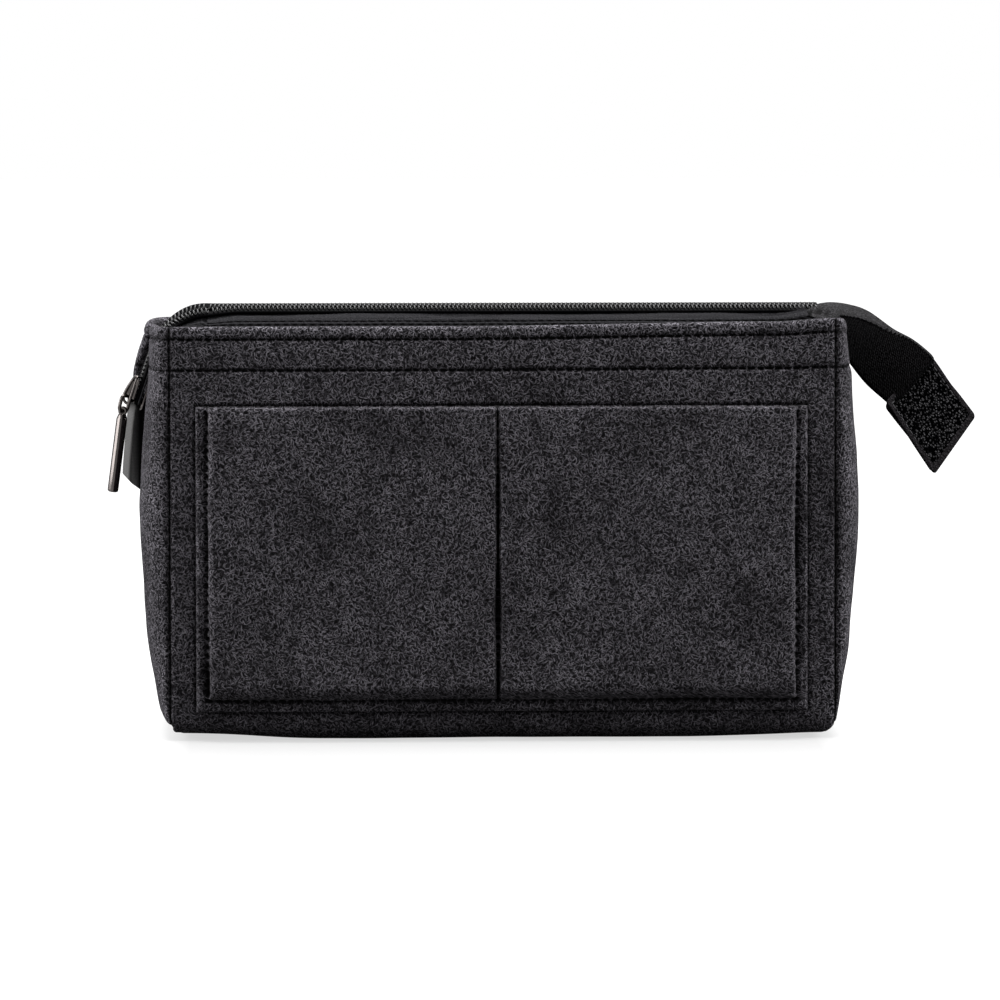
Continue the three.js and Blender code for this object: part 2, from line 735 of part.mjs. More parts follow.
add("front_panel", wall(front), feltGrey);
add("rear_panel", wall(rear), feltGrey);
add("base_panel", basePanel(), feltGrey);
add("gusset_left", cut(gusset(left), leftSlit), feltGrey);
add("gusset_right", cut(gusset(right), rightNotch), feltGrey);
add("outer_pocket_front", pocket(front, 1, outerPocketWidth, outerPocketBottom, outerPocketTop), feltGrey);
add("outer_pocket_rear", pocket(rear, 1, outerPocketWidth, outerPocketBottom, outerPocketTop), feltGrey);
add("inner_pocket_front", pocket(front, -1, innerPocketWidth, innerPocketBottom, innerPocketTop), feltGrey);
add("inner_pocket_rear", pocket(rear, -1, innerPocketWidth, innerPocketBottom, innerPocketTop), feltGrey);
add("hem_facing_front", hemFacing(front), feltGrey);
add("hem_facing_rear", hemFacing(rear), feltGrey);

const chainBreak = sideRunLength + cornerLength;
const chainEnd = chainBreak + topLength;
add("zip_band_front", band(front), bandBlack);
add("zip_band_rear", band(rear), bandBlack);
add("zip_chain_front", topChainHalf(front, chainBreak + gap, chainEnd), coilBlack);
add("zip_chain_rear", topChainHalf(rear, chainBreak + gap, chainEnd), coilBlack);
add("corner_tape_front", cornerTape(front), bandBlack);
add("corner_tape_rear", cornerTape(rear), bandBlack);
add("corner_chain_front", cornerChainHalf(front, sliderCentre - 1, chainBreak), coilBlack);
add("corner_chain_rear", cornerChainHalf(rear, sliderCentre - 1, chainBreak), coilBlack);

const sliderFrame = new THREE.Group();
sliderFrame.position.set(...besideZip(sliderCentre, 0, 0));
sliderFrame.quaternion.setFromRotationMatrix(
  new THREE.Matrix4().makeBasis(sideUp, new THREE.Vector3().crossVectors(sideOut, sideUp), sideOut),
);
pouch.add(sliderFrame);
add("zip_slider", sliderGeometry(), gunmetal, sliderFrame);

const link = add("pull_link", linkGeometry(), gunmetal);
link.position.set(linkPivot[0], 0, linkPivot[1]);
link.rotation.y = Math.PI / 2 + linkLean;
const bar = add("pull_bar", barGeometry(), gunmetal);
bar.position.set(barPivot[0], 0, barPivot[1]);
bar.rotation.y = barLean;

const flap = add("zip_end_flap", endFlap(), bandBlack);
const flapSeat = gussetPeak + seamWidth / 2 + 2 * gap + flapThickness / 2;
flap.position.set(-flapSeat, -1, flapTop);
flap.rotation.z = Math.PI / 2 + flapTurn;

add("zip_tail", tailGeometry(), bandBlack);
add("tab_upper_leaf", tabLeafGeometry(true), leatherette);
add("tab_lower_leaf", tabLeafGeometry(false), leatherette);

export default pouch;
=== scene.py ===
"""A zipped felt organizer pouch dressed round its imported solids. In metres, +Z up, the front towards -Y."""

import json
import math

import bpy
import numpy as np
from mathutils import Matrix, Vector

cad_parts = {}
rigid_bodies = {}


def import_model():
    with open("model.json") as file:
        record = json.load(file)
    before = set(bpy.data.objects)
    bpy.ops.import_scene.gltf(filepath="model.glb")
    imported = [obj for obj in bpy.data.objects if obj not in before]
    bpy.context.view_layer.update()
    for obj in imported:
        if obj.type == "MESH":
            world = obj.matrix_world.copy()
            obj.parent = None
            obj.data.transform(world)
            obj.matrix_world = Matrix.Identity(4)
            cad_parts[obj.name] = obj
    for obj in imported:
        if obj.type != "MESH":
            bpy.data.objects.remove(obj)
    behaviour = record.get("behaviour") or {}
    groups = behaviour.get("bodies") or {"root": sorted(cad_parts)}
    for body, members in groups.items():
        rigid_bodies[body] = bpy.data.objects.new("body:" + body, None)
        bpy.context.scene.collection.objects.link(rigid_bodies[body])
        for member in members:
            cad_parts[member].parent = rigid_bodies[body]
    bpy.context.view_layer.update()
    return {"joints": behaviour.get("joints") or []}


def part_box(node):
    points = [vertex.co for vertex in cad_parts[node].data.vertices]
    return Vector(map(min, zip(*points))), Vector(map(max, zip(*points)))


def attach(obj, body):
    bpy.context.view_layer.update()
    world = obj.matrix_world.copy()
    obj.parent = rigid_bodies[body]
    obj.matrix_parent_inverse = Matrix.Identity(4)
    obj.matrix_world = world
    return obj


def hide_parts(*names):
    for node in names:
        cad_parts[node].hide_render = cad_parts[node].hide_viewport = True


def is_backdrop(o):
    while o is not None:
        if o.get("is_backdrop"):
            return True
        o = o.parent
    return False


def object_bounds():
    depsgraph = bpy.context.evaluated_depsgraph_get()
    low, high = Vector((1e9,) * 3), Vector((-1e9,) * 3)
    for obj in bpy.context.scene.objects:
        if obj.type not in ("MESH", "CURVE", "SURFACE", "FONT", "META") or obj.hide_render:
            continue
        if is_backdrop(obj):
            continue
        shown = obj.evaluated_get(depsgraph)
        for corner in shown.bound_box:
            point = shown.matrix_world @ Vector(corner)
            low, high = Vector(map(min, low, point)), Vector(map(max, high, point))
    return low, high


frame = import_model()
MM = 0.001

# Camera
# A long lens a little left of the middle and a little above the pouch, as a product is photographed.
FRAME_WIDTH = 344.8 * MM  # what the picture's width covers at the front face
AIM = np.array([-0.9, -40, 83.4]) * MM
AZIMUTH = math.radians(-2.3)
ELEVATION = math.radians(5.0)
DISTANCE = 2.0

eye = bpy.data.cameras.new("camera")
eye.sensor_width = 36
eye.lens = eye.sensor_width * DISTANCE / FRAME_WIDTH
eye.clip_end = 20
camera = bpy.data.objects.new("camera", eye)
toward_eye = np.array([
    math.sin(AZIMUTH) * math.cos(ELEVATION),
    -math.cos(AZIMUTH) * math.cos(ELEVATION),
    math.sin(ELEVATION),
])
camera.location = AIM + toward_eye * DISTANCE
camera.rotation_euler = (math.pi / 2 - ELEVATION, 0, AZIMUTH)
bpy.context.collection.objects.link(camera)
bpy.context.scene.camera = camera
bpy.context.scene.view_settings.view_transform = "Standard"


# Front and rear walls
# Each is one piece of 3 mm wool felt, hemmed at the rim by two rows of stitches and rolled under
# at the base. Its side edges are sewn to the gussets, which leaves a groove at each corner, darkened by
# painted shade.
FELT = 3 * MM
BOTTOM_RADIUS = 7 * MM
END_RISE = 2 * MM
RIGHT_END_RISE = 1.2 * MM
FLAT_BASE_HALF = 62 * MM
RISE_FADE_HEIGHT = 40 * MM
STITCH_PITCH = 3.1 * MM


def box_of(node):
    """The low and the high corner of a solid's box."""
    return (np.array(corner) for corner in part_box(node))


wall_low, wall_high = box_of("front_panel")
SEAM_HALF = wall_high[0]
BODY_HEIGHT = wall_high[2]
BASE_HALF = -wall_low[1]
RIM_HALF = 33 * MM
LEFT_SPREAD = 0.65 * MM  # how far the felt face has spread past the left corner seam's nominal place
RIGHT_SPREAD = 1.5 * MM
HEM_ROWS = (BODY_HEIGHT - 4.4 * MM, BODY_HEIGHT - 15.1 * MM)
RIM_RISE = 1.1 * MM  # how much the rim's two right corners are drawn up by the zipper's tail
RIM_RISE_REACH = 20 * MM
FRONT_RISE = 1.4 * MM  # how much higher the front rim stands at its right than at its left
FRONT_RISE_START = -20 * MM
FRONT_RISE_WAY = 115 * MM
LIFT_INNER = 14 * MM  # nothing is lifted nearer to the middle than this
LIFT_WAY = 15 * MM
LIFT_FADE = 24 * MM  # below the rim, over which its lift fades out
FULL_SHADE_DEPTH = 1.0 * MM  # felt sunk by this much gets the fullest painted shade
HEM_PUFF = 0.35 * MM  # the roll above the upper row swells by this much
HEM_PUFF_HALF = 2.6 * MM
STRIP_PUFF = 0.25 * MM  # the strip between the two rows
STRIP_PUFF_HALF = 4.2 * MM


def half_depth(z):
    """Half the pouch's outer depth at height z: a quarter round at the base, then a straight lean."""
    drop = np.clip(BOTTOM_RADIUS - z, 0, BOTTOM_RADIUS)
    roll = BASE_HALF - BOTTOM_RADIUS + np.sqrt(BOTTOM_RADIUS**2 - drop**2)
    share = (z - BOTTOM_RADIUS) / (BODY_HEIGHT - BOTTOM_RADIUS)
    return np.where(z < BOTTOM_RADIUS, roll, BASE_HALF - (BASE_HALF - RIM_HALF) * share)


def smooth(t):
    """Rises from 0 to 1 with flat ends as t goes from 0 to 1."""
    c = np.clip(t, 0, 1)
    return c * c * (3 - 2 * c)


def ramp(value, start, length):
    """Rises smoothly from 0 where value is start to 1 a length further on."""
    return smooth((value - start) / length)


def bell(distance, width):
    """A bell curve: 1 at a distance of 0, and 1/e at one width."""
    return np.exp(-((distance / width) ** 2))


def end_lift(x, z):
    """How much the felt is lifted near the two ends of the base."""
    along = ramp(np.abs(x), FLAT_BASE_HALF, SEAM_HALF - FLAT_BASE_HALF)
    rise = np.where(x > 0, RIGHT_END_RISE, END_RISE)
    return rise * along * np.clip(1 - z / RISE_FADE_HEIGHT, 0, 1)


def spread_x(x):
    """A place across the wall moved outwards by its share of the spread on its side."""
    return x + np.where(x > 0, RIGHT_SPREAD, LEFT_SPREAD) * x / SEAM_HALF


def rim_lift(x, y, z):
    """How much the rim is lifted: beside its right corners, and gently along the front's right half."""
    corner = ramp(x, SEAM_HALF - RIM_RISE_REACH, RIM_RISE_REACH) * ramp(np.abs(y), LIFT_INNER, LIFT_WAY)
    front = ramp(x, FRONT_RISE_START, FRONT_RISE_WAY) * ramp(-y, LIFT_INNER, LIFT_WAY)
    return (RIM_RISE * corner + FRONT_RISE * front) * ramp(z, BODY_HEIGHT - LIFT_FADE, LIFT_FADE)


def places(low, high, step, fine_at=(), fine_step=0.35 * MM, reach=1.6 * MM, edge=FELT / 2):
    """Sorted places from low to high, a step apart, with finer ones at the ends and about each fine_at."""
    found = [np.linspace(low, high, max(2, round((high - low) / step) + 1))]
    rounding = edge * np.array([0, 0.04, 0.15, 0.35, 0.65, 1.0])
    found += [low + rounding, high - rounding]
    for at in fine_at:
        close = np.arange(at - reach, at + reach + fine_step / 2, fine_step)
        found.append(close[(close > low + edge) & (close < high - edge)])
    merged = np.sort(np.concatenate(found))
    apart = np.concatenate([[True], np.diff(merged) > 0.03 * MM])
    apart[-1] = True
    kept = merged[apart]
    return kept if kept[-1] - kept[-2] > 0.02 * MM else np.delete(kept, -2)


def swell(a, b, amplitude, seed, longest=90 * MM):
    """A gentle unevenness over the plane of a and b: a sum of nine waves of random direction."""
    rng = np.random.default_rng(seed)
    total = np.zeros(np.broadcast(a, b).shape)
    for wave in range(9):
        length = longest / (1 + wave * 0.55)
        turn, phase = rng.uniform(0, 2 * math.pi, 2)
        way = a * math.cos(turn) + b * math.sin(turn)
        total += np.sin(way * 2 * math.pi / length + phase) / (1 + wave)
    return amplitude * total / 2


def stitched_groove(distance, along, depth=1.4 * MM, width=0.5 * MM):
    """A sewn line's dip at a distance from it: a bell, deep along each stitch and shallower between two. The
    sheets' materials darken the dip as painted shade.
    """
    pulled = 0.15 + 0.85 * smooth(0.9 - 0.9 * np.cos(2 * math.pi * along / STITCH_PITCH))
    return -depth * pulled * bell(distance, width)


def edge_dip_and_shadow(distance, depth, width):
    """The dip of felt that is drawn in beside another piece, at a distance of 0 or more from it. Through the
    sheet's painted shade it also lays a painted contact shadow there.
    """
    return -depth * bell(distance, width) * (distance >= 0)


def grid_mesh(name, points, faces, uvs=None):
    """A mesh from an array of points and an array of four-cornered faces, with uvs for each point."""
    mesh = bpy.data.meshes.new(name)
    mesh.from_pydata(points.tolist(), [], faces.tolist())
    if uvs is not None:
        layer = mesh.uv_layers.new(name="along")
        corners = np.zeros(len(mesh.loops), np.int32)
        mesh.loops.foreach_get("vertex_index", corners)
        layer.data.foreach_set("uv", uvs[corners].ravel().astype(np.float32))
    mesh.polygons.foreach_set("use_smooth", np.ones(len(mesh.polygons), bool))
    mesh.validate()
    mesh.update()
    piece = bpy.data.objects.new(name, mesh)
    bpy.context.collection.objects.link(piece)
    return piece


def unit(vectors):
    """Vectors scaled to length 1."""
    return vectors / np.maximum(np.linalg.norm(vectors, axis=-1, keepdims=True), 1e-12)


def travelled(points, axis):
    """How far each point of a grid lies along its own line of the grid, from the line's start."""
    step = np.linalg.norm(np.diff(points, axis=axis), axis=-1)
    start = np.zeros_like(np.take(step, [0], axis=axis))
    return np.concatenate([start, np.cumsum(step, axis=axis)], axis=axis)


def felt_sheet(name, face, thickness, outward, relief=0.0, hole=None, hole_distance=None):
    """A closed sheet behind a grid of points of its outer face (rows, columns, 3), which looks outward.

    The outer face is the middle surface plus half the thickness along the normal, plus the relief. Near an
    edge both faces close in on the middle surface as a half circle. hole marks cells that are left out,
    and hole_distance gives each point's distance from them. The map is in metres along each face, and
    starts at another place for every sheet, so that no two show the same threads.
    """
    across, down = np.gradient(face, axis=1), np.gradient(face, axis=0)
    normal = unit(np.cross(across, down))
    normal = normal * np.sign(np.sum(normal * outward))
    middle = face - normal * thickness / 2
    from_left, from_top = travelled(face, 1), travelled(face, 0)
    edge = np.minimum(
        np.minimum(from_left, from_left[:, -1:] - from_left),
        np.minimum(from_top, from_top[-1:, :] - from_top),
    )
    if hole_distance is not None:
        edge = np.minimum(edge, hole_distance)
    radius = thickness / 2
    rise = radius * np.sqrt(1 - np.clip(1 - edge / radius, 0, 1) ** 2)
    fade = np.clip(edge / (2 * radius), 0, 1)
    dip = np.maximum(relief, -0.6 * thickness) * fade
    outer = middle + normal * (rise + dip)[..., None]
    inner = middle - normal * rise[..., None]
    rows, columns = edge.shape
    kept = np.ones((rows - 1, columns - 1), bool) if hole is None else ~hole
    padded = np.pad(kept, 1)
    touching = padded[:-1, :-1].astype(int) + padded[1:, :-1] + padded[:-1, 1:] + padded[1:, 1:]
    is_rim = (touching > 0) & (touching < 4)
    # How far the relief sinks the face, kept as a point attribute that the materials turn into painted shade
    painted_shade = np.clip(-relief / FULL_SHADE_DEPTH, 0, 1) * np.ones(edge.shape)
    outer[is_rim] = middle[is_rim]
    number = np.arange(rows * columns).reshape(rows, columns)
    back = np.where(is_rim, number, number + rows * columns)
    i, j = np.nonzero(kept)
    front_faces = np.stack([number[i, j], number[i, j + 1], number[i + 1, j + 1], number[i + 1, j]], 1)
    back_faces = np.stack([back[i, j], back[i + 1, j], back[i + 1, j + 1], back[i, j + 1]], 1)
    faces = np.concatenate([front_faces, back_faces])
    points = np.concatenate([outer.reshape(-1, 3), inner.reshape(-1, 3)])
    start = 0.37 * len(bpy.data.objects)
    uvs = np.concatenate([
        np.stack([travelled(shell, 1), travelled(shell, 0)], -1).reshape(-1, 2) + start
        for shell in (middle + normal * rise[..., None], inner)
    ])
    used, renumbered = np.unique(faces, return_inverse=True)
    piece = grid_mesh(name, points[used], renumbered.reshape(-1, 4), uvs[used])
    layer = piece.data.attributes.new("painted_shade", "FLOAT", "POINT")
    layer.data.foreach_set("value", np.tile(painted_shade.ravel(), 2)[used].astype(np.float32))
    return facing_out(piece)


def facing_out(piece):
    """Turns a closed mesh's faces outwards if its signed volume is negative."""
    mesh = piece.data
    mesh.calc_loop_triangles()
    corners = np.zeros(len(mesh.loop_triangles) * 3, np.int32)
    mesh.loop_triangles.foreach_get("vertices", corners)
    points = np.zeros(len(mesh.vertices) * 3)
    mesh.vertices.foreach_get("co", points)
    a, b, c = points.reshape(-1, 3)[corners.reshape(-1, 3)].transpose(1, 0, 2)
    if np.einsum("ij,ij->i", a, np.cross(b, c)).sum() < 0:
        mesh.flip_normals()
    return piece


def place(piece, finish, slot, body, *nodes):
    """Gives a piece its material, the body that it rides on and the solids that it stands for. slot is not
    used.
    """
    piece.data.materials.append(finish)
    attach(piece, body)
    if nodes:
        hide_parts(*nodes)
    return piece


def node_group(name, inputs, outputs):
    """An empty shader node group with the named sockets, and its input and output nodes."""
    group = bpy.data.node_groups.new(name, "ShaderNodeTree")
    for label, kind, value in inputs:
        socket = group.interface.new_socket(label, in_out="INPUT", socket_type=kind)
        if value is not None:
            socket.default_value = value
    for label, kind in outputs:
        group.interface.new_socket(label, in_out="OUTPUT", socket_type=kind)
    return group, group.nodes.new("NodeGroupInput"), group.nodes.new("NodeGroupOutput")


def new_node(tree, kind, values, **settings):
    """A shader node with its settings; values sets its inputs, each to a value or another node's socket."""
    node = tree.nodes.new("ShaderNode" + kind)
    for setting, value in settings.items():
        setattr(node, setting, value)
    for key, value in values.items():
        if isinstance(value, (int, float, tuple)):
            node.inputs[key].default_value = value
        else:
            tree.links.new(value, node.inputs[key])
    return node


def math_node(tree, operation, *values):
    """A maths node's result."""
    return new_node(tree, "Math", dict(enumerate(values)), operation=operation).outputs[0]


def times(tree, a, b):
    """The product of two numbers or sockets."""
    return math_node(tree, "MULTIPLY", a, b)


def plus(tree, a, b):
    """The sum of two numbers or sockets."""
    return math_node(tree, "ADD", a, b)


def minus(tree, a, b):
    """The difference of two numbers or sockets."""
    return math_node(tree, "SUBTRACT", a, b)


def at_least(tree, a, b):
    """The greater of two numbers or sockets."""
    return math_node(tree, "MAXIMUM", a, b)


def mix_colours(tree, amount, first, second):
    """Two colours mixed by an amount from 0 to 1."""
    return new_node(tree, "Mix", {0: amount, 6: first, 7: second}, data_type="RGBA").outputs[2]


def noise(tree, at, scale, detail=2.0, roughness=0.5):
    """A noise texture's value at a place, with its scale in cycles to the metre."""
    given = {"Vector": at, "Scale": scale, "Detail": detail, "Roughness": roughness}
    return new_node(tree, "TexNoise", given).outputs[0]


def turned(tree, at, angles, stretch=(1, 1, 1)):
    """Coordinates turned by angles and stretched."""
    return new_node(tree, "Mapping", {"Vector": at, "Rotation": angles, "Scale": stretch}).outputs[0]


def fibre_layer_group():
    """One layer of short curved fibres: one lies in each cell of a flat Voronoi pattern, at its own angle.

    A cell's colour turns its fibre, bends it as a parabola and sets how bright it is. It fades to its ends.
    """
    group, given, made = node_group(
        "fibre_layer",
        [
            ("Along", "NodeSocketVector", None),
            ("Cells", "NodeSocketFloat", 600.0),
            ("Half Width", "NodeSocketFloat", 0.2 * MM),
        ],
        [("Fibre", "NodeSocketFloat")],
    )
    along, cell_count, half_width = given.outputs[:3]
    cells = new_node(group, "TexVoronoi", {"Vector": along, "Scale": cell_count}, voronoi_dimensions="2D")
    turn, brightness, curl = new_node(group, "SeparateColor", {0: cells.outputs["Color"]}).outputs[:3]
    off = new_node(group, "VectorMath", {0: along, 1: cells.outputs["Position"]}, operation="SUBTRACT")
    turning = {"Vector": off.outputs[0], "Angle": times(group, turn, 2 * math.pi)}
    aligned = new_node(group, "VectorRotate", turning, rotation_type="Z_AXIS")
    parts = new_node(group, "SeparateXYZ", {0: aligned.outputs[0]})
    squared = times(group, parts.outputs[0], parts.outputs[0])
    bend = times(group, squared, times(group, minus(group, curl, 0.5), 380.0))
    bent = plus(group, parts.outputs[1], bend)
    share = math_node(group, "DIVIDE", math_node(group, "ABSOLUTE", bent), half_width)
    line = at_least(group, minus(group, 1.0, share), 0.0)
    bright = plus(group, math_node(group, "POWER", brightness, 1.7), 0.06)
    size = times(group, cell_count, 1.55)
    taper = at_least(group, minus(group, 1.0, times(group, squared, times(group, size, size))), 0.0)
    shown = times(group, times(group, line, bright), taper)
    group.links.new(shown, made.inputs["Fibre"])
    return group


def fibre_group():
    """Matted wool: five turned layers of short fibres, the brightest on top, over a dark grainy ground.

    Height is the fibres over the grain. Where the sheet is sunk, the colour goes towards black as painted
    shade.
    """
    group, given, made = node_group(
        "matted_fibres",
        [
            ("Along", "NodeSocketVector", None),
            ("Place", "NodeSocketVector", None),
            ("Painted Shade", "NodeSocketFloat", 0.0),
            ("Ground", "NodeSocketColor", (0.02, 0.02, 0.02, 1)),
            ("Fibre", "NodeSocketColor", (0.1, 0.1, 0.1, 1)),
        ],
        [("Color", "NodeSocketColor"), ("Height", "NodeSocketFloat")],
    )
    along, at, painted_shade, ground, fibre = given.outputs[:5]
    layer = fibre_layer_group()
    total = None
    for number, cells in enumerate((740, 650, 900, 590, 820)):
        lie = turned(group, along, (0, 0, 0.7 + 1.1 * number))
        fibres = {"Along": lie, "Cells": cells, "Half Width": 0.25 * MM}
        shown = new_node(group, "Group", fibres, node_tree=layer).outputs[0]
        total = shown if total is None else at_least(group, total, shown)
    grain = noise(group, at, 1700, 1.0, 0.6)
    cloud = noise(group, at, 140, 3.0, 0.6)
    clouded = plus(group, times(group, cloud, 1.6), 0.2)
    light = mix_colours(group, times(group, total, clouded), ground, fibre)
    # Painted shade: sunk felt is mixed towards black
    colour = mix_colours(group, times(group, painted_shade, 0.93), light, (0.0005, 0.0005, 0.0005, 1))
    height = plus(group, total, times(group, grain, 0.5))
    group.links.new(colour, made.inputs["Color"])
    group.links.new(height, made.inputs["Height"])
    return group


def bare_material(name, settings):
    """A material whose shader has the settings; gives the material, its tree and its shader."""
    finish = bpy.data.materials.new(name)
    finish.use_nodes = True
    shader = finish.node_tree.nodes["Principled BSDF"]
    for socket, value in settings.items():
        shader.inputs[socket].default_value = value
    return finish, finish.node_tree, shader


def bump(tree, shader, height, strength, distance):
    """Feeds a height to the shader's normal through a bump node."""
    node = new_node(tree, "Bump", {"Strength": strength, "Distance": distance, "Height": height})
    tree.links.new(node.outputs[0], shader.inputs["Normal"])


def object_place(tree):
    """The place on the object."""
    return new_node(tree, "TexCoord", {}).outputs["Object"]


def own_map(tree):
    """The sheet's own map, which is in metres along its face."""
    return new_node(tree, "UVMap", {}, uv_map="along").outputs[0]


def painted_shade_in(tree):
    """How much painted shade the sheet's sinking gives, from 0 to 1."""
    return new_node(tree, "Attribute", {}, attribute_name="painted_shade").outputs["Fac"]


FIBRES = fibre_group()


def felt_material(name, ground, fibre):
    """Heathered wool felt of a ground and a fibre colour, with a soft sheen."""
    settings = {
        "Roughness": 0.95,
        "Sheen Weight": 0.03,
        "Sheen Roughness": 0.6,
        "Specular IOR Level": 0.0,
    }
    finish, tree, shader = bare_material(name, settings)
    given = {
        "Along": own_map(tree),
        "Place": object_place(tree),
        "Painted Shade": painted_shade_in(tree),
        "Ground": (*ground, 1),
        "Fibre": (*fibre, 1),
    }
    matted = new_node(tree, "Group", given, node_tree=FIBRES)
    tree.links.new(matted.outputs["Color"], shader.inputs["Base Color"])
    bump(tree, shader, matted.outputs["Height"], 1.0, 0.22 * MM)
    return finish


CHARCOAL = felt_material("charcoal_felt", (0.0036, 0.0033, 0.0040), (0.258, 0.244, 0.274))

BASE_CORNER = 4 * MM  # the walls' lower corners are rounded by this much


def wall_face(x, s, facing):
    """A wall's outer face: x along it, s the way down from the rim and round the roll.

    facing is -1 at the front and 1 at the rear.
    """
    straight = BODY_HEIGHT - BOTTOM_RADIUS
    turn = np.clip((s - straight) / BOTTOM_RADIUS, 0, math.pi / 2)
    z = np.where(s < straight, BODY_HEIGHT - s, BOTTOM_RADIUS * (1 - np.sin(turn)))
    y = np.where(s < straight, half_depth(z), BASE_HALF - BOTTOM_RADIUS * (1 - np.cos(turn)))
    low = np.clip(1 - z / BASE_CORNER, 0, 1)
    narrowed = x * (1 - BASE_CORNER / SEAM_HALF * (1 - np.sqrt(1 - low**2)))
    y = facing * y
    return np.stack([spread_x(narrowed), y, z + end_lift(x, z) + rim_lift(x, y, z)], -1)


def hem_relief(along, z):
    """The hem's puffed roll and strip and its two sewn grooves, at heights z."""
    relief = np.zeros(np.broadcast(along, z).shape)
    for row in HEM_ROWS:
        relief = relief + stitched_groove(z - row, along)
    roll = bell(z - (BODY_HEIGHT + HEM_ROWS[0]) / 2, HEM_PUFF_HALF)
    strip = bell(z - sum(HEM_ROWS) / 2, STRIP_PUFF_HALF)
    return relief + HEM_PUFF * roll + STRIP_PUFF * strip


def seam_pull(side, z):
    """How hard a corner seam is drawn in: fully at the left, less at the right, and least in its hem."""
    return np.where(side > 0, 0.75 - 0.5 * ramp(z, HEM_ROWS[1], 5 * MM), 1)


POCKET_SPREAD = 0.7 * MM  # how far each side of a pocket's pressed felt has spread
MOUTH_SAG = 0.6 * MM
BESIDE_POCKET = 1.3 * MM  # where the wall's face is worked out more finely
wall_length = BODY_HEIGHT - BOTTOM_RADIUS + BOTTOM_RADIUS * math.pi / 2
pocket_low, pocket_high = box_of("outer_pocket_front")
beside_pocket = [pocket_low[0] - BESIDE_POCKET, pocket_high[0] + BESIDE_POCKET]
above_pocket = [BODY_HEIGHT - pocket_high[2], BODY_HEIGHT - pocket_low[2] + MOUTH_SAG]
wall_x = places(-SEAM_HALF, SEAM_HALF, STITCH_PITCH / 4, beside_pocket, reach=0.9 * MM)
wall_s = places(0, wall_length, 1.6 * MM, [BODY_HEIGHT - row for row in HEM_ROWS] + above_pocket)
grid_x, grid_s = np.meshgrid(wall_x, wall_s)
for side, facing, seed in (("front", -1, 11), ("rear", 1, 12)):
    face = wall_face(grid_x, grid_s, facing)
    z = face[..., 2]
    outside_x = np.abs(spread_x(grid_x)) - pocket_high[0] - POCKET_SPREAD
    outside_z = np.maximum(z - pocket_high[2] + MOUTH_SAG, pocket_low[2] - z)
    from_pocket = np.where(
        (outside_x > 0) | (outside_z > 0),
        np.hypot(np.maximum(outside_x, 0), np.maximum(outside_z, 0)),
        -1,
    )
    relief = hem_relief(grid_x, BODY_HEIGHT - grid_s) + swell(grid_x, grid_s, 0.3 * MM, seed)
    corner_groove = stitched_groove(SEAM_HALF - np.abs(grid_x), z, 1.2 * MM, 0.16 * MM)
    # These dips also darken the felt: painted shade in the corner seams and a painted contact shadow round
    # the pocket
    relief = relief + corner_groove * seam_pull(grid_x, z) + edge_dip_and_shadow(from_pocket, 0.8 * MM, 0.6 * MM)
    wall = felt_sheet(f"felt_wall_{side}", face, FELT, (0, facing, 0), relief)
    place(wall, CHARCOAL, "felt", "pouch", f"{side}_panel")


# Base
# A flat felt panel let in between the two walls' rolled edges, its ends lifted with them.
base_low, base_high = box_of("base_panel")
grid_x, grid_y = np.meshgrid(
    places(-SEAM_HALF, SEAM_HALF, 3 * MM),
    places(base_low[1], base_high[1], 3 * MM),
)
face = np.stack([grid_x, grid_y, end_lift(grid_x, 0 * grid_x)], -1)
place(felt_sheet("felt_base", face, FELT, (0, 0, -1)), CHARCOAL, "felt", "pouch", "base_panel")


# End gussets
# Felt panels that bulge out past the corner seams. The left one is slit down its middle for the zipper,
# and its rear half stands further out. The right one is notched, and the zipper's tail passes over it.
GAP = 0.3 * MM
PEAK_HEIGHT = 78 * MM
PEAK_BULGE = 11.8 * MM
FOOT_BULGE = 2.6 * MM
TOP_BULGE = 7.5 * MM
SQUARENESS = 2.6
REAR_LIP = 4.6 * MM  # how much further the left gusset's rear half stands out beside the slit
LIP_FLARE = 0.03  # the lip's edge, as a share of the way from the middle to the seam
GUSSET_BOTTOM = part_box("gusset_left")[0][2]
SLIT_HALF = 5.2 * MM
SLIT_DEPTH = 34 * MM
NOTCH_HALF = 14 * MM
NOTCH_DEPTH = 20 * MM
RIM_DIP = 1.6 * MM  # how far the rim sinks beside an opening
RIM_DIP_HEIGHT = 12 * MM
RIM_DIP_REACH = 3 * MM


def gusset_bulge(z):
    """How far a gusset stands out at height z: a parabola up to its fullest, then an ease in to the rim."""
    below = PEAK_BULGE - (PEAK_BULGE - FOOT_BULGE) * ((PEAK_HEIGHT - z) / PEAK_HEIGHT) ** 2
    above = PEAK_BULGE - (PEAK_BULGE - TOP_BULGE) * ramp(z, PEAK_HEIGHT, BODY_HEIGHT - PEAK_HEIGHT)
    return np.where(z < PEAK_HEIGHT, below, above)


SHAPE_DROPS = np.array([0, 7.7, 13.4, 17.4, 28.8, 42, 75, 105, 143]) * MM  # below the rim
SHAPE_OUT = np.array([-1.0, -0.45, 0.15, 0.8, 0.55, 0, 0, -0.8, -0.9]) * MM
LEFT_DRAW = 0.6 * MM  # how much flatter the left gusset is at its fullest
LEFT_DRAW_REACH = 25 * MM
TUCK_HEIGHT = 5 * MM  # below this the gusset tucks in to its foot


def right_shape(z):
    """How the stiff hem draws the right gusset in at the rim, and how it swells out below the hem."""
    return np.interp(BODY_HEIGHT - z, SHAPE_DROPS, SHAPE_OUT)


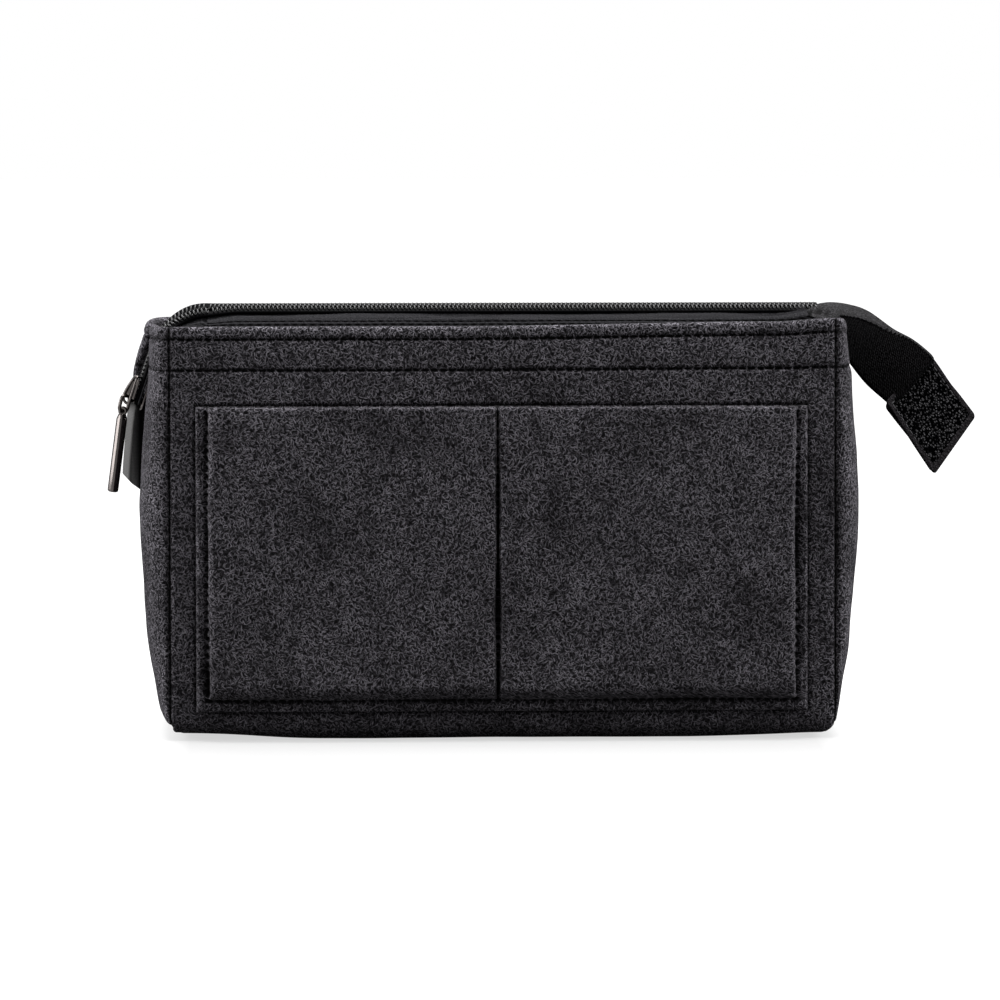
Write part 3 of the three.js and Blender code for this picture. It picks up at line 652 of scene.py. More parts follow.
def gusset_face(u, z, side):
    """A gusset's outer face: in plan half a superellipse from seam to seam as u goes from -1 to 1.

    The left one's rear half also stands out beside the slit, more and more down to its middle.
    """
    angle = u * math.pi / 2
    power = 2 / SQUARENESS
    depth = (BODY_HEIGHT - z) / SLIT_DEPTH
    stand = (0.38 + 0.82 * smooth(depth / 0.54)) * (1 - smooth((depth - 0.6) / 0.4))
    lip = REAR_LIP * np.clip(u / LIP_FLARE, 0, 1) * stand if side < 0 else 0
    tuck = 0.5 + 0.5 * ramp(z, GUSSET_BOTTOM, TUCK_HEIGHT)
    seam = SEAM_HALF + (RIGHT_SPREAD if side > 0 else LEFT_SPREAD)
    shape = right_shape(z) if side > 0 else -LEFT_DRAW * bell(z - PEAK_HEIGHT, LEFT_DRAW_REACH)
    bulge = SEAM_HALF + gusset_bulge(z) - seam + shape
    out = (bulge * tuck + lip) * np.abs(np.cos(angle)) ** power
    across = half_depth(z - end_lift(SEAM_HALF, z)) * np.abs(np.sin(angle)) ** power
    x = side * (seam + GAP + out)
    y = np.sign(u) * across
    return np.stack([x, y, z + rim_lift(x, y, z)], -1)


def gusset(node, side, hole_half, hole_depth, seed):
    """One gusset with an opening of half width hole_half down to hole_depth in the middle of its rim."""
    hole_bottom = BODY_HEIGHT - hole_depth
    hole_share = hole_half / float(half_depth(np.array(hole_bottom)))
    hole_u = math.asin(hole_share ** (SQUARENESS / 2)) * 2 / math.pi
    corner = np.sin(np.linspace(0, 1, 30) * math.pi / 2)
    u_half = np.unique(np.concatenate([corner, hole_u + np.array([0, 0.003, 0.008, 0.016, 0.026, 0.04])]))
    u = np.concatenate([-u_half[:0:-1], u_half])
    z = places(GUSSET_BOTTOM, BODY_HEIGHT, 1.5 * MM, [*HEM_ROWS, hole_bottom - 0.8 * MM])
    z = np.unique(np.append(z, hole_bottom))[::-1]
    grid_u, grid_z = np.meshgrid(u, z)
    face = gusset_face(grid_u, grid_z, side)
    cell_u = (u[1:] + u[:-1]) / 2
    cell_z = (z[1:] + z[:-1]) / 2
    hole = (np.abs(cell_u)[None, :] < hole_u) & (cell_z[:, None] > hole_bottom)
    edge = face[:, int(np.argmin(np.abs(u - hole_u))), 1][:, None]
    beside = np.maximum(np.abs(face[..., 1]) - edge, 0)
    below = np.maximum(hole_bottom - grid_z, 0)
    near_rim = ramp(grid_z, BODY_HEIGHT - RIM_DIP_HEIGHT, RIM_DIP_HEIGHT)
    face[..., 2] -= RIM_DIP * np.exp(-beside / RIM_DIP_REACH) * near_rim
    relief = hem_relief(face[..., 1], grid_z) + swell(grid_u * BASE_HALF, grid_z, 0.45 * MM, seed, 60 * MM)
    way = travelled(face, 1)
    from_seam = np.minimum(way, way[:, -1:] - way)
    relief = relief + stitched_groove(from_seam, grid_z, 1.2 * MM, 0.65 * MM) * seam_pull(side, grid_z)
    piece = felt_sheet(f"felt_{node}", face, FELT, (side, 0, 0), relief, hole, np.hypot(beside, below))
    place(piece, CHARCOAL, "felt", "pouch", node)


gusset("gusset_left", -1, SLIT_HALF, SLIT_DEPTH, 21)
gusset("gusset_right", 1, NOTCH_HALF, NOTCH_DEPTH, 23)


# Slip pockets
# One wide piece of thinner felt on each wall, outside and inside, sewn down a few millimetres inside its
# edge along both sides and the bottom, and down its middle, which leaves two pockets open at the top.
POCKET_FELT = 2.4 * MM
FLANGE = 3.6 * MM  # from a pocket's edge to its seam
POCKET_ROOM = 4.6 * MM  # how far the felt stands off where nothing holds it down
POCKET_RAMP = 2.8 * MM
FOOT_RAMP = 1.7 * POCKET_RAMP
MIDDLE_HALF = 0.1 * MM
MIDDLE_STEEPNESS = 1.8  # the felt rises this much faster beside the middle seam
MIDDLE_X = -1.65 * MM


def pocket_stand_off(x, z, half, bottom):
    """How far a pocket's felt stands off its wall: nothing along the seams, rising quickly beside them."""
    beside = np.minimum(half - FLANGE - np.abs(x), MIDDLE_STEEPNESS * (np.abs(x - MIDDLE_X) - MIDDLE_HALF))
    rise = 1 - (1 - np.clip(beside / POCKET_RAMP, 0, 1)) ** 2.4
    foot = 1 - (1 - np.clip((z - bottom - FLANGE) / FOOT_RAMP, 0, 1)) ** 2.2
    return GAP + POCKET_ROOM * rise * foot


def pocket(name, node, facing, outside, seed):
    """A slip pocket on the wall that faces facing; outside is 1 on its outer face and -1 inside."""
    low, high = box_of(node)
    half = high[0] + POCKET_SPREAD
    bottom, top = low[2], high[2] - MOUTH_SAG
    seams = [-half + FLANGE, MIDDLE_X - MIDDLE_HALF, MIDDLE_X + MIDDLE_HALF, half - FLANGE]
    x = places(-half, half, STITCH_PITCH / 3, seams, edge=POCKET_FELT / 2)
    z = places(bottom, top, 1.5 * MM, [bottom + FLANGE], edge=POCKET_FELT / 2)[::-1]
    grid_x, grid_z = np.meshgrid(x, z)
    wall = half_depth(grid_z) - (0 if outside > 0 else FELT)
    off = pocket_stand_off(grid_x, grid_z, half, bottom) + POCKET_FELT
    face = np.stack([grid_x, facing * (wall + outside * off), grid_z], -1)
    from_side = np.abs(grid_x) - (half - FLANGE)
    from_bottom = grid_z - (bottom + FLANGE)
    upright = stitched_groove(from_side, grid_z)
    middle = stitched_groove(grid_x - MIDDLE_X, grid_z, 1.2 * MM, 0.26 * MM)
    relief = np.where(from_bottom > 0, upright + middle, 0)
    relief = relief + np.where(from_side < 0, stitched_groove(from_bottom, grid_x), 0)
    relief = relief + swell(grid_x, grid_z, 0.35 * MM, seed, 70 * MM)
    piece = felt_sheet(name, face, POCKET_FELT, (0, facing * outside, 0), relief)
    place(piece, CHARCOAL, "felt", "pouch", node)


for side, facing, seed in (("front", -1, 31), ("rear", 1, 32)):
    pocket(f"felt_pocket_outer_{side}", f"outer_pocket_{side}", facing, 1, seed)
    pocket(f"felt_pocket_inner_{side}", f"inner_pocket_{side}", facing, -1, seed + 2)


# Hem facings
# Plain felt strips inside the rim, which the two hem rows also catch.
FACING_FELT = 2.2 * MM
for side, facing in (("front", -1), ("rear", 1)):
    low, high = box_of(f"hem_facing_{side}")
    across, up = (places(low[axis], high[axis], 3 * MM, edge=FACING_FELT / 2) for axis in (0, 2))
    grid_x, grid_z = np.meshgrid(across, up[::-1])
    inside = half_depth(grid_z) - FELT - GAP - FACING_FELT
    face = np.stack([grid_x, facing * inside, grid_z], -1)
    relief = hem_relief(grid_x, grid_z) * 0.5
    piece = felt_sheet(f"felt_facing_{side}", face, FACING_FELT, (0, -facing, 0), relief)
    place(piece, CHARCOAL, "felt", "pouch", f"hem_facing_{side}")


# Stitches
# Black polyester thread in short straight stitches, each lying a little sunk in its groove.
STITCH_LENGTH = 2.3 * MM
THREAD = 0.33 * MM
SUNK = 0.8 * MM
SEAM_SUNK = 1.1 * MM
WALL_LEAN = 0.045  # how much the walls look up


def ring_faces(rings, sides, closed=False):
    """Four-cornered faces from each ring of points to the next; closed joins the last to the first."""
    spans = np.arange(rings if closed else rings - 1)
    i, j = (k.ravel() for k in np.meshgrid(spans, np.arange(sides), indexing="ij"))
    ahead, beside = (i + 1) % rings, (j + 1) % sides
    return np.stack([i * sides + j, i * sides + beside, ahead * sides + beside, ahead * sides + j], 1)


def stitch_shape():
    """One stitch as a unit spindle along x: rings of six points, thin at both ends."""
    along = np.array([-1, -0.85, -0.4, 0.4, 0.85, 1.0])
    girth = np.array([0.05, 0.75, 1, 1, 0.75, 0.05])[:, None]
    turn = np.arange(6) * math.pi / 3
    rings = np.stack([np.ones((6, 6)) * along[:, None], girth * np.cos(turn), girth * np.sin(turn)], -1)
    ends = np.array([[0, 5, 4, 3], [0, 3, 2, 1], [30, 31, 32, 33], [30, 33, 34, 35]])
    return rings.reshape(-1, 3), np.concatenate([ring_faces(6, 6), ends])


STITCH_POINTS, STITCH_FACES = stitch_shape()


def stitches(name, middles, alongs, normals, length=STITCH_LENGTH, girth=THREAD):
    """A mesh of one stitch at each middle, which lies along its along and looks along its normal."""
    alongs, normals = unit(alongs), unit(normals)
    sides = np.cross(normals, alongs)
    scaled = STITCH_POINTS * np.array([length / 2, girth, girth * 0.8])
    points = (
        middles[:, None, :]
        + scaled[None, :, 0:1] * alongs[:, None, :]
        + scaled[None, :, 1:2] * sides[:, None, :]
        + scaled[None, :, 2:3] * normals[:, None, :]
    )
    count = len(middles)
    offsets = np.arange(count)[:, None, None] * len(STITCH_POINTS)
    faces = (STITCH_FACES[None] + offsets).reshape(-1, 4)
    return facing_out(grid_mesh(name, points.reshape(-1, 3), faces))


def pitches(low, high):
    """The middles of the stitches between low and high, where a stitched groove is deepest."""
    first = math.ceil(low / STITCH_PITCH - 0.5)
    last = math.floor(high / STITCH_PITCH - 0.5)
    return (np.arange(first, last + 1) + 0.5) * STITCH_PITCH


def stitch_row(spots, along, outward):
    """A row of stitches: their middles, and which way each lies and looks."""
    return spots, np.broadcast_to(along, spots.shape), np.broadcast_to(outward, spots.shape)


def thread_material(name, colour, roughness, gloss):
    """Twisted thread: a fine unevenness of its surface."""
    settings = {"Base Color": (*colour, 1), "Roughness": roughness, "Specular IOR Level": gloss}
    finish, tree, shader = bare_material(name, settings)
    bump(tree, shader, noise(tree, object_place(tree), 2600, 1.0), 0.5, 0.05 * MM)
    return finish


BLACK_THREAD = thread_material("black_thread", (0.0015, 0.0015, 0.0018), 0.55, 0.03)

rows = []
for facing in (-1, 1):
    for row in HEM_ROWS:
        x = pitches(-SEAM_HALF + 2 * MM, SEAM_HALF - 2 * MM)
        y = facing * (half_depth(np.full_like(x, row)) - SUNK)
        spots = np.stack([x, y, row + rim_lift(x, y, row)], -1)
        rows.append(stitch_row(spots, (1, 0, 0), (0, facing, WALL_LEAN)))
for side, hole_half in ((-1, SLIT_HALF), (1, NOTCH_HALF)):
    for row in HEM_ROWS:
        u = np.linspace(-0.995, 0.995, 4000)
        line = gusset_face(u, np.full_like(u, row), side)
        way = travelled(line, 0)
        at = pitches(1 * MM, way[-1] - 1 * MM)
        spots, ahead = (
            np.stack([np.interp(at + step, way, line[:, axis]) for axis in range(3)], -1)
            for step in (0, 0.5 * MM)
        )
        run = unit(ahead - spots)
        out = np.cross(run, [0, 0, 1.0]) * side
        beside_hole = np.abs(spots[:, 1]) > hole_half + 1.5 * MM
        rows.append([part[beside_hole] for part in (spots - out * SUNK, run, out)])
for side, spread in ((-1, LEFT_SPREAD), (1, RIGHT_SPREAD)):
    for facing in (-1, 1):
        z = pitches(BOTTOM_RADIUS + 2 * MM, BODY_HEIGHT - 4 * MM)
        y = facing * (half_depth(z) - SEAM_SUNK)
        spots = np.stack([np.full_like(z, side * (SEAM_HALF + GAP / 2 + spread)), y, z], -1)
        rows.append(stitch_row(spots, (0, 0, 1), (side * 0.4, facing, 0)))
hem_stitches = stitches("hem_stitches", *(np.concatenate(part) for part in zip(*rows)))
place(hem_stitches, BLACK_THREAD, "coil", "pouch")

rows = []
for node, facing, outside in (
    ("outer_pocket_front", -1, 1),
    ("outer_pocket_rear", 1, 1),
    ("inner_pocket_front", -1, -1),
    ("inner_pocket_rear", 1, -1),
):
    low, high = box_of(node)
    seam = high[0] + POCKET_SPREAD - FLANGE
    up = pitches(low[2] + FLANGE, high[2] - 1.6 * MM)
    sideways = pitches(-seam, seam)
    lines = [(np.full_like(up, x), up, (0, 0, 1)) for x in (-seam, seam, MIDDLE_X)]
    lines.append((sideways, np.full_like(sideways, low[2] + FLANGE), (1, 0, 0)))
    for x, z, run in lines:
        wall = half_depth(z) - (0 if outside > 0 else FELT)
        y = facing * (wall + outside * (GAP + POCKET_FELT - SUNK))
        rows.append(stitch_row(np.stack([x, y, z], -1), run, (0, facing * outside, WALL_LEAN)))
pocket_stitches = stitches("pocket_stitches", *(np.concatenate(part) for part in zip(*rows)))
place(pocket_stitches, BLACK_THREAD, "coil", "pouch")


# Zipper coil
# Black nylon monofilament wound into two flattened helices, one sewn along each tape, whose heads
# lock together in the middle. It climbs out of the left slit, turns the corner and runs along the top.
TOOTH_PITCH = 1.5 * MM
CHAIN_TILT = math.radians(22)
SIDE_LEAN = math.radians(18.8)
CORNER_RADIUS = 20 * MM
CORNER_TWIST = math.radians(30)
CORNER_SAG = 1.2 * MM
CORNER_INSET = 12.1 * MM
RIDGE_HEIGHT = 4.9 * MM
SIDE_RUN = 21.8 * MM
CORNER_RUN = CORNER_RADIUS * (math.pi / 2 - SIDE_LEAN)
SLIDER_CENTRE = 5 * MM
MONOFILAMENT = 0.33 * MM
COIL_OVER = 4 * MM  # how far the coil runs on under the tail's rolled strip
COIL_MIDDLE = 0.95 * MM  # each half's own middle, beside the zipper's
COIL_HALF_WIDTH = 1.2 * MM
COIL_HALF_HEIGHT = 0.55 * MM
COIL_RISE = 0.2 * MM
HEAD_SWELL = 0.2  # how much fuller the wire is where the two halves lock
SEWN_FROM = 0.1 * MM
SEWN_TO = 3.1 * MM
SEWN_RIDGE = 2.35 * MM
STEPS_TO_TURN = 12
BAND_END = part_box("zip_band_front")[1][0]
ACROSS = np.array([0, 1.0, 0])
side_up = np.array([math.sin(SIDE_LEAN), 0, math.cos(SIDE_LEAN)])
side_out = np.array([-math.cos(SIDE_LEAN), 0, math.sin(SIDE_LEAN)])
top_start = np.array([CORNER_INSET - SEAM_HALF, 0, BODY_HEIGHT + RIDGE_HEIGHT])
corner_centre = top_start - np.array([0, 0, CORNER_RADIUS])
TOP_RUN_START = SIDE_RUN + CORNER_RUN
ZIP_END = TOP_RUN_START + BAND_END - top_start[0]


def beside_zip(s, across, out):
    """Points beside the zipper's path: a straight side run, a corner arc and the straight top run.

    s is the way along it, across goes to the rear and out along its outward normal, both turned by a lean
    towards the front that grows round the corner.
    """
    s, across, out = np.broadcast_arrays(s, across, out)
    turn = np.clip((s - SIDE_RUN) / CORNER_RADIUS, 0, CORNER_RUN / CORNER_RADIUS)
    rising = turn - math.pi / 2 + SIDE_LEAN
    normal = np.stack([np.sin(rising), 0 * turn, np.cos(rising)], -1)
    on_arc = corner_centre + normal * CORNER_RADIUS
    before = np.minimum(s - SIDE_RUN, 0)[..., None] * side_up
    beyond = np.maximum(s - TOP_RUN_START, 0)[..., None] * np.array([1.0, 0, 0])
    twist = np.sin(math.pi * np.clip((s - SIDE_RUN + 2 * MM) / (CORNER_RUN + 14 * MM), 0, 1)) ** 2
    lean = CHAIN_TILT * smooth(turn / (CORNER_RUN / CORNER_RADIUS)) + CORNER_TWIST * twist
    out = out - CORNER_SAG * twist
    sideways = across * np.cos(lean) - out * np.sin(lean)
    outwards = across * np.sin(lean) + out * np.cos(lean)
    return on_arc + before + beyond + normal * outwards[..., None] + sideways[..., None] * ACROSS


def tube(name, path, radii, sides, reference, closed=False):
    """A round tube of radii about a path of points: a ring of sides points square to the path at each."""
    path = np.asarray(path, float)
    if closed:
        tangent = unit(np.roll(path, -1, 0) - np.roll(path, 1, 0))
    else:
        tangent = unit(np.gradient(path, axis=0))
    first = unit(np.cross(tangent, reference))
    second = np.cross(tangent, first)
    turn = (np.arange(sides) * 2 * math.pi / sides)[None, :, None]
    radii = np.broadcast_to(radii, len(path))[:, None, None]
    rings = path[:, None] + radii * (np.cos(turn) * first[:, None] + np.sin(turn) * second[:, None])
    points, faces = rings.reshape(-1, 3), ring_faces(len(path), sides, closed)
    if not closed:
        points, faces = capped(points, faces, sides)
    return facing_out(grid_mesh(name, points, faces))


def capped(points, faces, sides):
    """Closes both open ends of a tube with a fan of faces about a middle point."""
    last = len(points) - sides
    middles = np.stack([points[:sides].mean(0), points[last:].mean(0)])
    j = np.arange(0, sides, 2)
    low = np.stack([np.full_like(j, len(points)), (j + 2) % sides, j + 1, j], 1)
    high = np.stack([np.full_like(j, len(points) + 1), last + j, last + j + 1, last + (j + 2) % sides], 1)
    return np.concatenate([points, middles]), np.concatenate([faces, low, high])


def coil(name, side, start, end):
    """One half of the zipper: a flattened helix with a turn every pitch and fuller heads at the middle."""
    turns = int((end - start) / TOOTH_PITCH)
    phase = np.arange(turns * STEPS_TO_TURN + 1) * 2 * math.pi / STEPS_TO_TURN
    s = end - turns * TOOTH_PITCH + (phase / (2 * math.pi) + (0 if side > 0 else 0.5)) * TOOTH_PITCH
    across = side * (COIL_MIDDLE - COIL_HALF_WIDTH * np.cos(phase))
    out = COIL_RISE + COIL_HALF_HEIGHT * np.sin(phase)
    head = 1 + HEAD_SWELL * np.clip(np.cos(phase), 0, 1) ** 3
    path = beside_zip(s, across, out)
    reference = beside_zip(s + 0.1 * MM, 0, 0) - beside_zip(s - 0.1 * MM, 0, 0)
    return tube(name, path, MONOFILAMENT * head, 6, reference)


def sewn_half(name, side, start, end):
    """The threads that hold one coil down: a dark ridge over its outer half, dented at each turn."""
    across = places(SEWN_FROM, SEWN_TO, 0.3 * MM, edge=0.4 * MM)
    steps = round((end - start) / TOOTH_PITCH * 4) + 1
    grid_s, grid_a = np.meshgrid(np.linspace(start - 0.6 * MM, end + 0.6 * MM, steps), across)
    out = (0.32 if side > 0 else -0.04) * MM - 0.09 * MM * ((grid_a - (SEWN_FROM + SEWN_TO) / 2) / MM) ** 2
    face = beside_zip(grid_s, side * grid_a, out)
    ridge = bell(grid_a - SEWN_RIDGE, 0.5 * MM) * (1 if side > 0 else 0.4)
    relief = ridge * (0.36 * MM + 0.09 * MM * np.cos(2 * math.pi * grid_s / TOOTH_PITCH))
    return felt_sheet(name, face, 1.3 * MM, (-0.6, 0, 1), relief)


settings = {"Base Color": (0.003, 0.003, 0.0035, 1), "Specular IOR Level": 0.36}
NYLON, nylon_tree, nylon_shader = bare_material("black_nylon", settings)
scuffs = noise(nylon_tree, object_place(nylon_tree), 900, 3.0)
rubbed = plus(nylon_tree, times(nylon_tree, scuffs, 0.25), 0.17)
nylon_tree.links.new(rubbed, nylon_shader.inputs["Roughness"])

for side_name, side in (("front", -1), ("rear", 1)):
    runs = (
        ("top", TOP_RUN_START, ZIP_END + COIL_OVER, f"band_{side_name}", f"zip_chain_{side_name}"),
        ("corner", 1 * MM, TOP_RUN_START, "pouch", f"corner_chain_{side_name}"),
    )
    for run, start, end, body, node in runs:
        place(coil(f"coil_{run}_{side_name}", side, start, end), NYLON, "coil", body, node)
    for run, start, end, body, node in runs:
        place(sewn_half(f"sewn_{run}_{side_name}", side, start, end), BLACK_THREAD, "coil", body)


# Zipper tapes and bands
# Closely woven polyester tape under the coil, sewn to a fold that joins it to the hem facings; the fold is
# darkened by painted shade.
# Round the left corner the tapes narrow and run down inside the slit.
TAPE = 0.7 * MM
TAPE_DROP = 1.3 * MM
TAPE_INNER = 1.1 * MM
SHOULDER = 4 * MM
HEM_ACROSS = 28.6 * MM
HEM_BAND_HEIGHT = BODY_HEIGHT - 0.7 * MM


def weave_group():
    """Woven tape: fine ribs across the way of the tape, crossed by a slower float, with broken threads."""
    group, given, made = node_group(
        "woven_ribs",
        [
            ("Along", "NodeSocketVector", None),
            ("Ground", "NodeSocketColor", (0.02, 0.02, 0.02, 1)),
            ("Raised", "NodeSocketColor", (0.06, 0.06, 0.06, 1)),
            ("Ribs", "NodeSocketFloat", 2200.0),
            ("Slant", "NodeSocketFloat", 0.6),
        ],
        [("Color", "NodeSocketColor"), ("Height", "NodeSocketFloat")],
    )
    along, ground, raised_colour, ribs, slant = given.outputs[:5]
    parts = new_node(group, "SeparateXYZ", {0: along}).outputs
    slanted = plus(group, parts[0], times(group, parts[1], slant))
    rib, float_over = (
        plus(group, times(group, math_node(group, "SINE", times(group, way, ribs)), 0.5), 0.5)
        for way in (slanted, parts[1])
    )
    woven = times(group, rib, plus(group, times(group, float_over, 0.6), 0.4))
    worn = times(group, minus(group, noise(group, along, 1400, 2.0), 0.32), 4.5)
    raised = times(group, woven, at_least(group, worn, 0.0))
    group.links.new(mix_colours(group, raised, ground, raised_colour), made.inputs["Color"])
    group.links.new(woven, made.inputs["Height"])
    return group


WEAVE = weave_group()


def tape_material(name, ground, raised, ribs, slant, depth=0.12 * MM):
    """Woven tape of a ground and a raised thread colour; the weave follows the tape's own map. Where the tape
    is sunk, its colour goes nearly black as painted shade.
    """
    finish, tree, shader = bare_material(name, {"Roughness": 0.85, "Specular IOR Level": 0.0})
    given = {
        "Along": own_map(tree),
        "Ground": (*ground, 1),
        "Raised": (*raised, 1),
        "Ribs": ribs,
        "Slant": slant,
    }
    woven = new_node(tree, "Group", given, node_tree=WEAVE)
    # Painted shade: sunk tape goes nearly black
    dark = times(tree, painted_shade_in(tree), 0.98)
    colour = mix_colours(tree, dark, woven.outputs["Color"], (0.0005, 0.0005, 0.0005, 1))
    tree.links.new(colour, shader.inputs["Base Color"])
    bump(tree, shader, woven.outputs["Height"], 0.8, depth)
    return finish


GREY_TAPE = tape_material("grey_tape", (0.010, 0.010, 0.011), (0.042, 0.041, 0.044), 12000, 0.3)
BLACK_TAPE = tape_material("black_tape", (0, 0, 0), (0.0085, 0.0083, 0.0088), 6200, -0.75)

END_DRAW = 2.8 * MM  # how far the band's right end is drawn up, and out towards the tail
END_DRAW_WAY = 16 * MM
STITCH_SPREAD = 2.0 * MM  # how wide and how deep the fold's sewn lines are
FOLD_WIDTH = 25 * MM
FOLD_FROM = 0.37  # the sewn fold's lines, as shares of the way to the hem
FOLD_SEWN = 0.45
FOLD_ROLL = 0.62
FOLD_FOOT = 0.75
BAND_SHARE = 0.12
CORNER_SHARE = 0.4


def bent_over(inner, shoulder, edge, v, at):
    """From inner straight to the shoulder, which v reaches at a share, then straight to the edge."""
    near = inner + (shoulder - inner) * np.clip(v / at, 0, 1)[..., None]
    return near + (edge - shoulder) * np.clip((v - at) / (1 - at), 0, 1)[..., None]


def hem_line(points, side):
    """Where a tape meets the hem facing, beside each of the points."""
    hem = points.copy()
    hem[..., 1] = side * HEM_ACROSS
    hem[..., 2] = HEM_BAND_HEIGHT + TAPE
    return hem


def band_face(s, v, side):
    """The band's upper face: v from 0 under the coil, over a shoulder, to 1 at the hem facing.

    At its right end the front one is drawn up over the coil, to where it rolls over into the tail.
    """
    inner = beside_zip(s, side * TAPE_INNER, -TAPE_DROP)
    shoulder = beside_zip(s, side * SHOULDER, -TAPE_DROP)
    face = bent_over(inner, shoulder, hem_line(inner, side), v, BAND_SHARE)
    face[..., 2] += END_DRAW * ramp(s, ZIP_END - 12 * MM, END_DRAW_WAY) * (1 - v) * (side < 0)
    return face


def fold_relief(s, way):
    """The band's fold: wrinkles, then a lower strip with a soft roll between its two sewn lines. Its creases,
    its sunk strip and its sewn lines are darkened as painted shade.
    """
    creases = swell(s * 0.12, way * FOLD_WIDTH, 0.5 * MM, 44, 9 * MM)
    way = way + swell(s, 0, 0.025, 47, 60 * MM)
    fold = ramp(way, FOLD_FROM, 0.04)
    sewn = stitched_groove((way - FOLD_SEWN) * FOLD_WIDTH, s, STITCH_SPREAD, STITCH_SPREAD)
    drawn_in = stitched_groove((way - FOLD_FOOT) * FOLD_WIDTH, s + STITCH_PITCH / 2, 1.9 * MM, 1.9 * MM)
    roll = 0.4 * MM * bell(way - FOLD_ROLL, 0.05)
    return creases * (1 - 0.8 * fold) + fold * (sewn + roll + drawn_in - 0.4 * MM)


for side_name, side in (("front", -1), ("rear", 1)):
    grid_s, grid_v = np.meshgrid(
        places(TOP_RUN_START + 0.05 * MM, ZIP_END, STITCH_PITCH / 3, edge=TAPE / 2),
        np.unique(np.concatenate([np.linspace(0, 1, 60), [0.004, 0.012, 0.985, 0.996]])),
    )
    drawn_out = END_DRAW * ramp(grid_s, ZIP_END - 15 * MM, 15 * MM) * ramp(grid_v, 0.4, 0.3)
    face = band_face(grid_s + drawn_out, grid_v, side)
    relief = fold_relief(grid_s, (grid_v - BAND_SHARE) / (1 - BAND_SHARE))
    piece = felt_sheet(f"band_{side_name}_tape", face, TAPE, (0, 0, 1), relief)
    place(piece, GREY_TAPE, "tape", f"band_{side_name}", f"zip_band_{side_name}")


def corner_face(s, v, side):
    """The corner tape's outer face: v from 0 under the coil to 1 at the slit's edge or the hem."""
    inner = beside_zip(s, side * TAPE_INNER, -TAPE_DROP)
    shoulder = beside_zip(s, side * SHOULDER, -TAPE_DROP)
    narrow = beside_zip(s, side * (SLIT_HALF - GAP), -TAPE_DROP)
    opened = ramp(s, SIDE_RUN, CORNER_RUN)[..., None]
    edge = narrow + (hem_line(narrow, side) - narrow) * opened
    return bent_over(inner, shoulder, edge, v, CORNER_SHARE)


for side_name, side in (("front", -1), ("rear", 1)):
    grid_s, grid_v = np.meshgrid(
        places(1 * MM, TOP_RUN_START + 3 * MM, 0.8 * MM, edge=TAPE / 2),
        np.unique(np.concatenate([np.linspace(0, 1, 36), [0.01, 0.02, 0.98, 0.99]])),
    )
    face = corner_face(grid_s, grid_v, side)
    face[..., 2] -= 0.8 * MM * ramp(grid_s, TOP_RUN_START - 2.5 * MM, 2.5 * MM)
    opened = ramp(grid_s, SIDE_RUN, CORNER_RUN) ** 3
    relief = opened * fold_relief(grid_s, (grid_v - CORNER_SHARE) / (1 - CORNER_SHARE))
    piece = felt_sheet(f"corner_tape_{side_name}_woven", face, TAPE, (-1, 0, 1), relief)
    place(piece, GREY_TAPE, "tape", "pouch", f"corner_tape_{side_name}")


# Slider
# Die-cast zinc plated a dark polished gunmetal: two plates joined by a post at the nose, side flanges that
# hold the chain in, and an arched crown that the pull's link runs under.
SLIDER_LENGTH = 11.5 * MM
NOSE_WIDTH = 9.2 * MM
TAIL_WIDTH = 8 * MM
CHANNEL = 1.3 * MM
PLATE = 0.9 * MM
INNER_PLATE = CHANNEL + 1.3 * MM  # how far the inner plate's upper face lies below the chain's middle
POST_RADIUS = 0.8 * MM
POST_UP = -3.4 * MM
RAIL_ACROSS = 3.65  # millimetres


def metal_material(name, colour, roughness):
    """Polished dark plating: fine smears of wear in its gloss and a faint unevenness."""
    finish, tree, shader = bare_material(name, {"Metallic": 1.0})
    at = object_place(tree)
    smear = noise(tree, turned(tree, at, (0, 0.1, 0), (1, 1, 0.15)), 900, 4.0)
    tarnish = noise(tree, at, 260, 2.0)
    tree.links.new(plus(tree, times(tree, smear, 0.14), roughness - 0.07), shader.inputs["Roughness"])
    darker = tuple(c * 0.75 for c in colour)
    tree.links.new(mix_colours(tree, tarnish, (*darker, 1), (*colour, 1)), shader.inputs["Base Color"])
    bump(tree, shader, smear, 0.12, 0.02 * MM)
    return finish


GUNMETAL = metal_material("polished_gunmetal", (0.080, 0.072, 0.069), 0.17)


def squared_circle(count, power, start=0.0):
    """count points round a superellipse of half width 1: a circle's cosine and sine raised to a power."""
    turn = (np.arange(count) + start) * 2 * math.pi / count
    circle = np.stack([np.cos(turn), np.sin(turn)], -1)
    return np.sign(circle) * np.abs(circle) ** power


def slider_outline():
    """The plates' outline: a rounded box, wider at the nose, as points (up the chain, across)."""
    box = squared_circle(64, 2 / 5)
    up = SLIDER_LENGTH / 2 * box[:, 0]
    width = NOSE_WIDTH + (TAIL_WIDTH - NOSE_WIDTH) * ramp(up, -1.5 * MM, 3 * MM)
    return np.stack([up, width / 2 * box[:, 1]], -1)


def stacked(outline, levels):
    """A closed solid of rings: the outline drawn in by each level's inset, at each level's height."""
    middle = outline.mean(0)
    reach = np.linalg.norm(outline - middle, axis=1)[:, None]
    rings = []
    for inset, height in levels:
        ring = middle + (outline - middle) * np.maximum(1 - inset / reach, 0.02)
        rings.append(np.concatenate([ring, np.full((len(ring), 1), height)], 1))
    return capped(np.concatenate(rings), ring_faces(len(rings), len(outline)), len(outline))


def rounded_levels(low, high, edge):
    """Levels from low to high with both rims rounded by edge."""
    turn = np.linspace(0, math.pi / 2, 4)
    below = [(edge * (1 - math.sin(a)), low + edge * (1 - math.cos(a))) for a in turn]
    above = [(edge * (1 - math.cos(a)), high - edge * (1 - math.sin(a))) for a in turn]
    return below + above


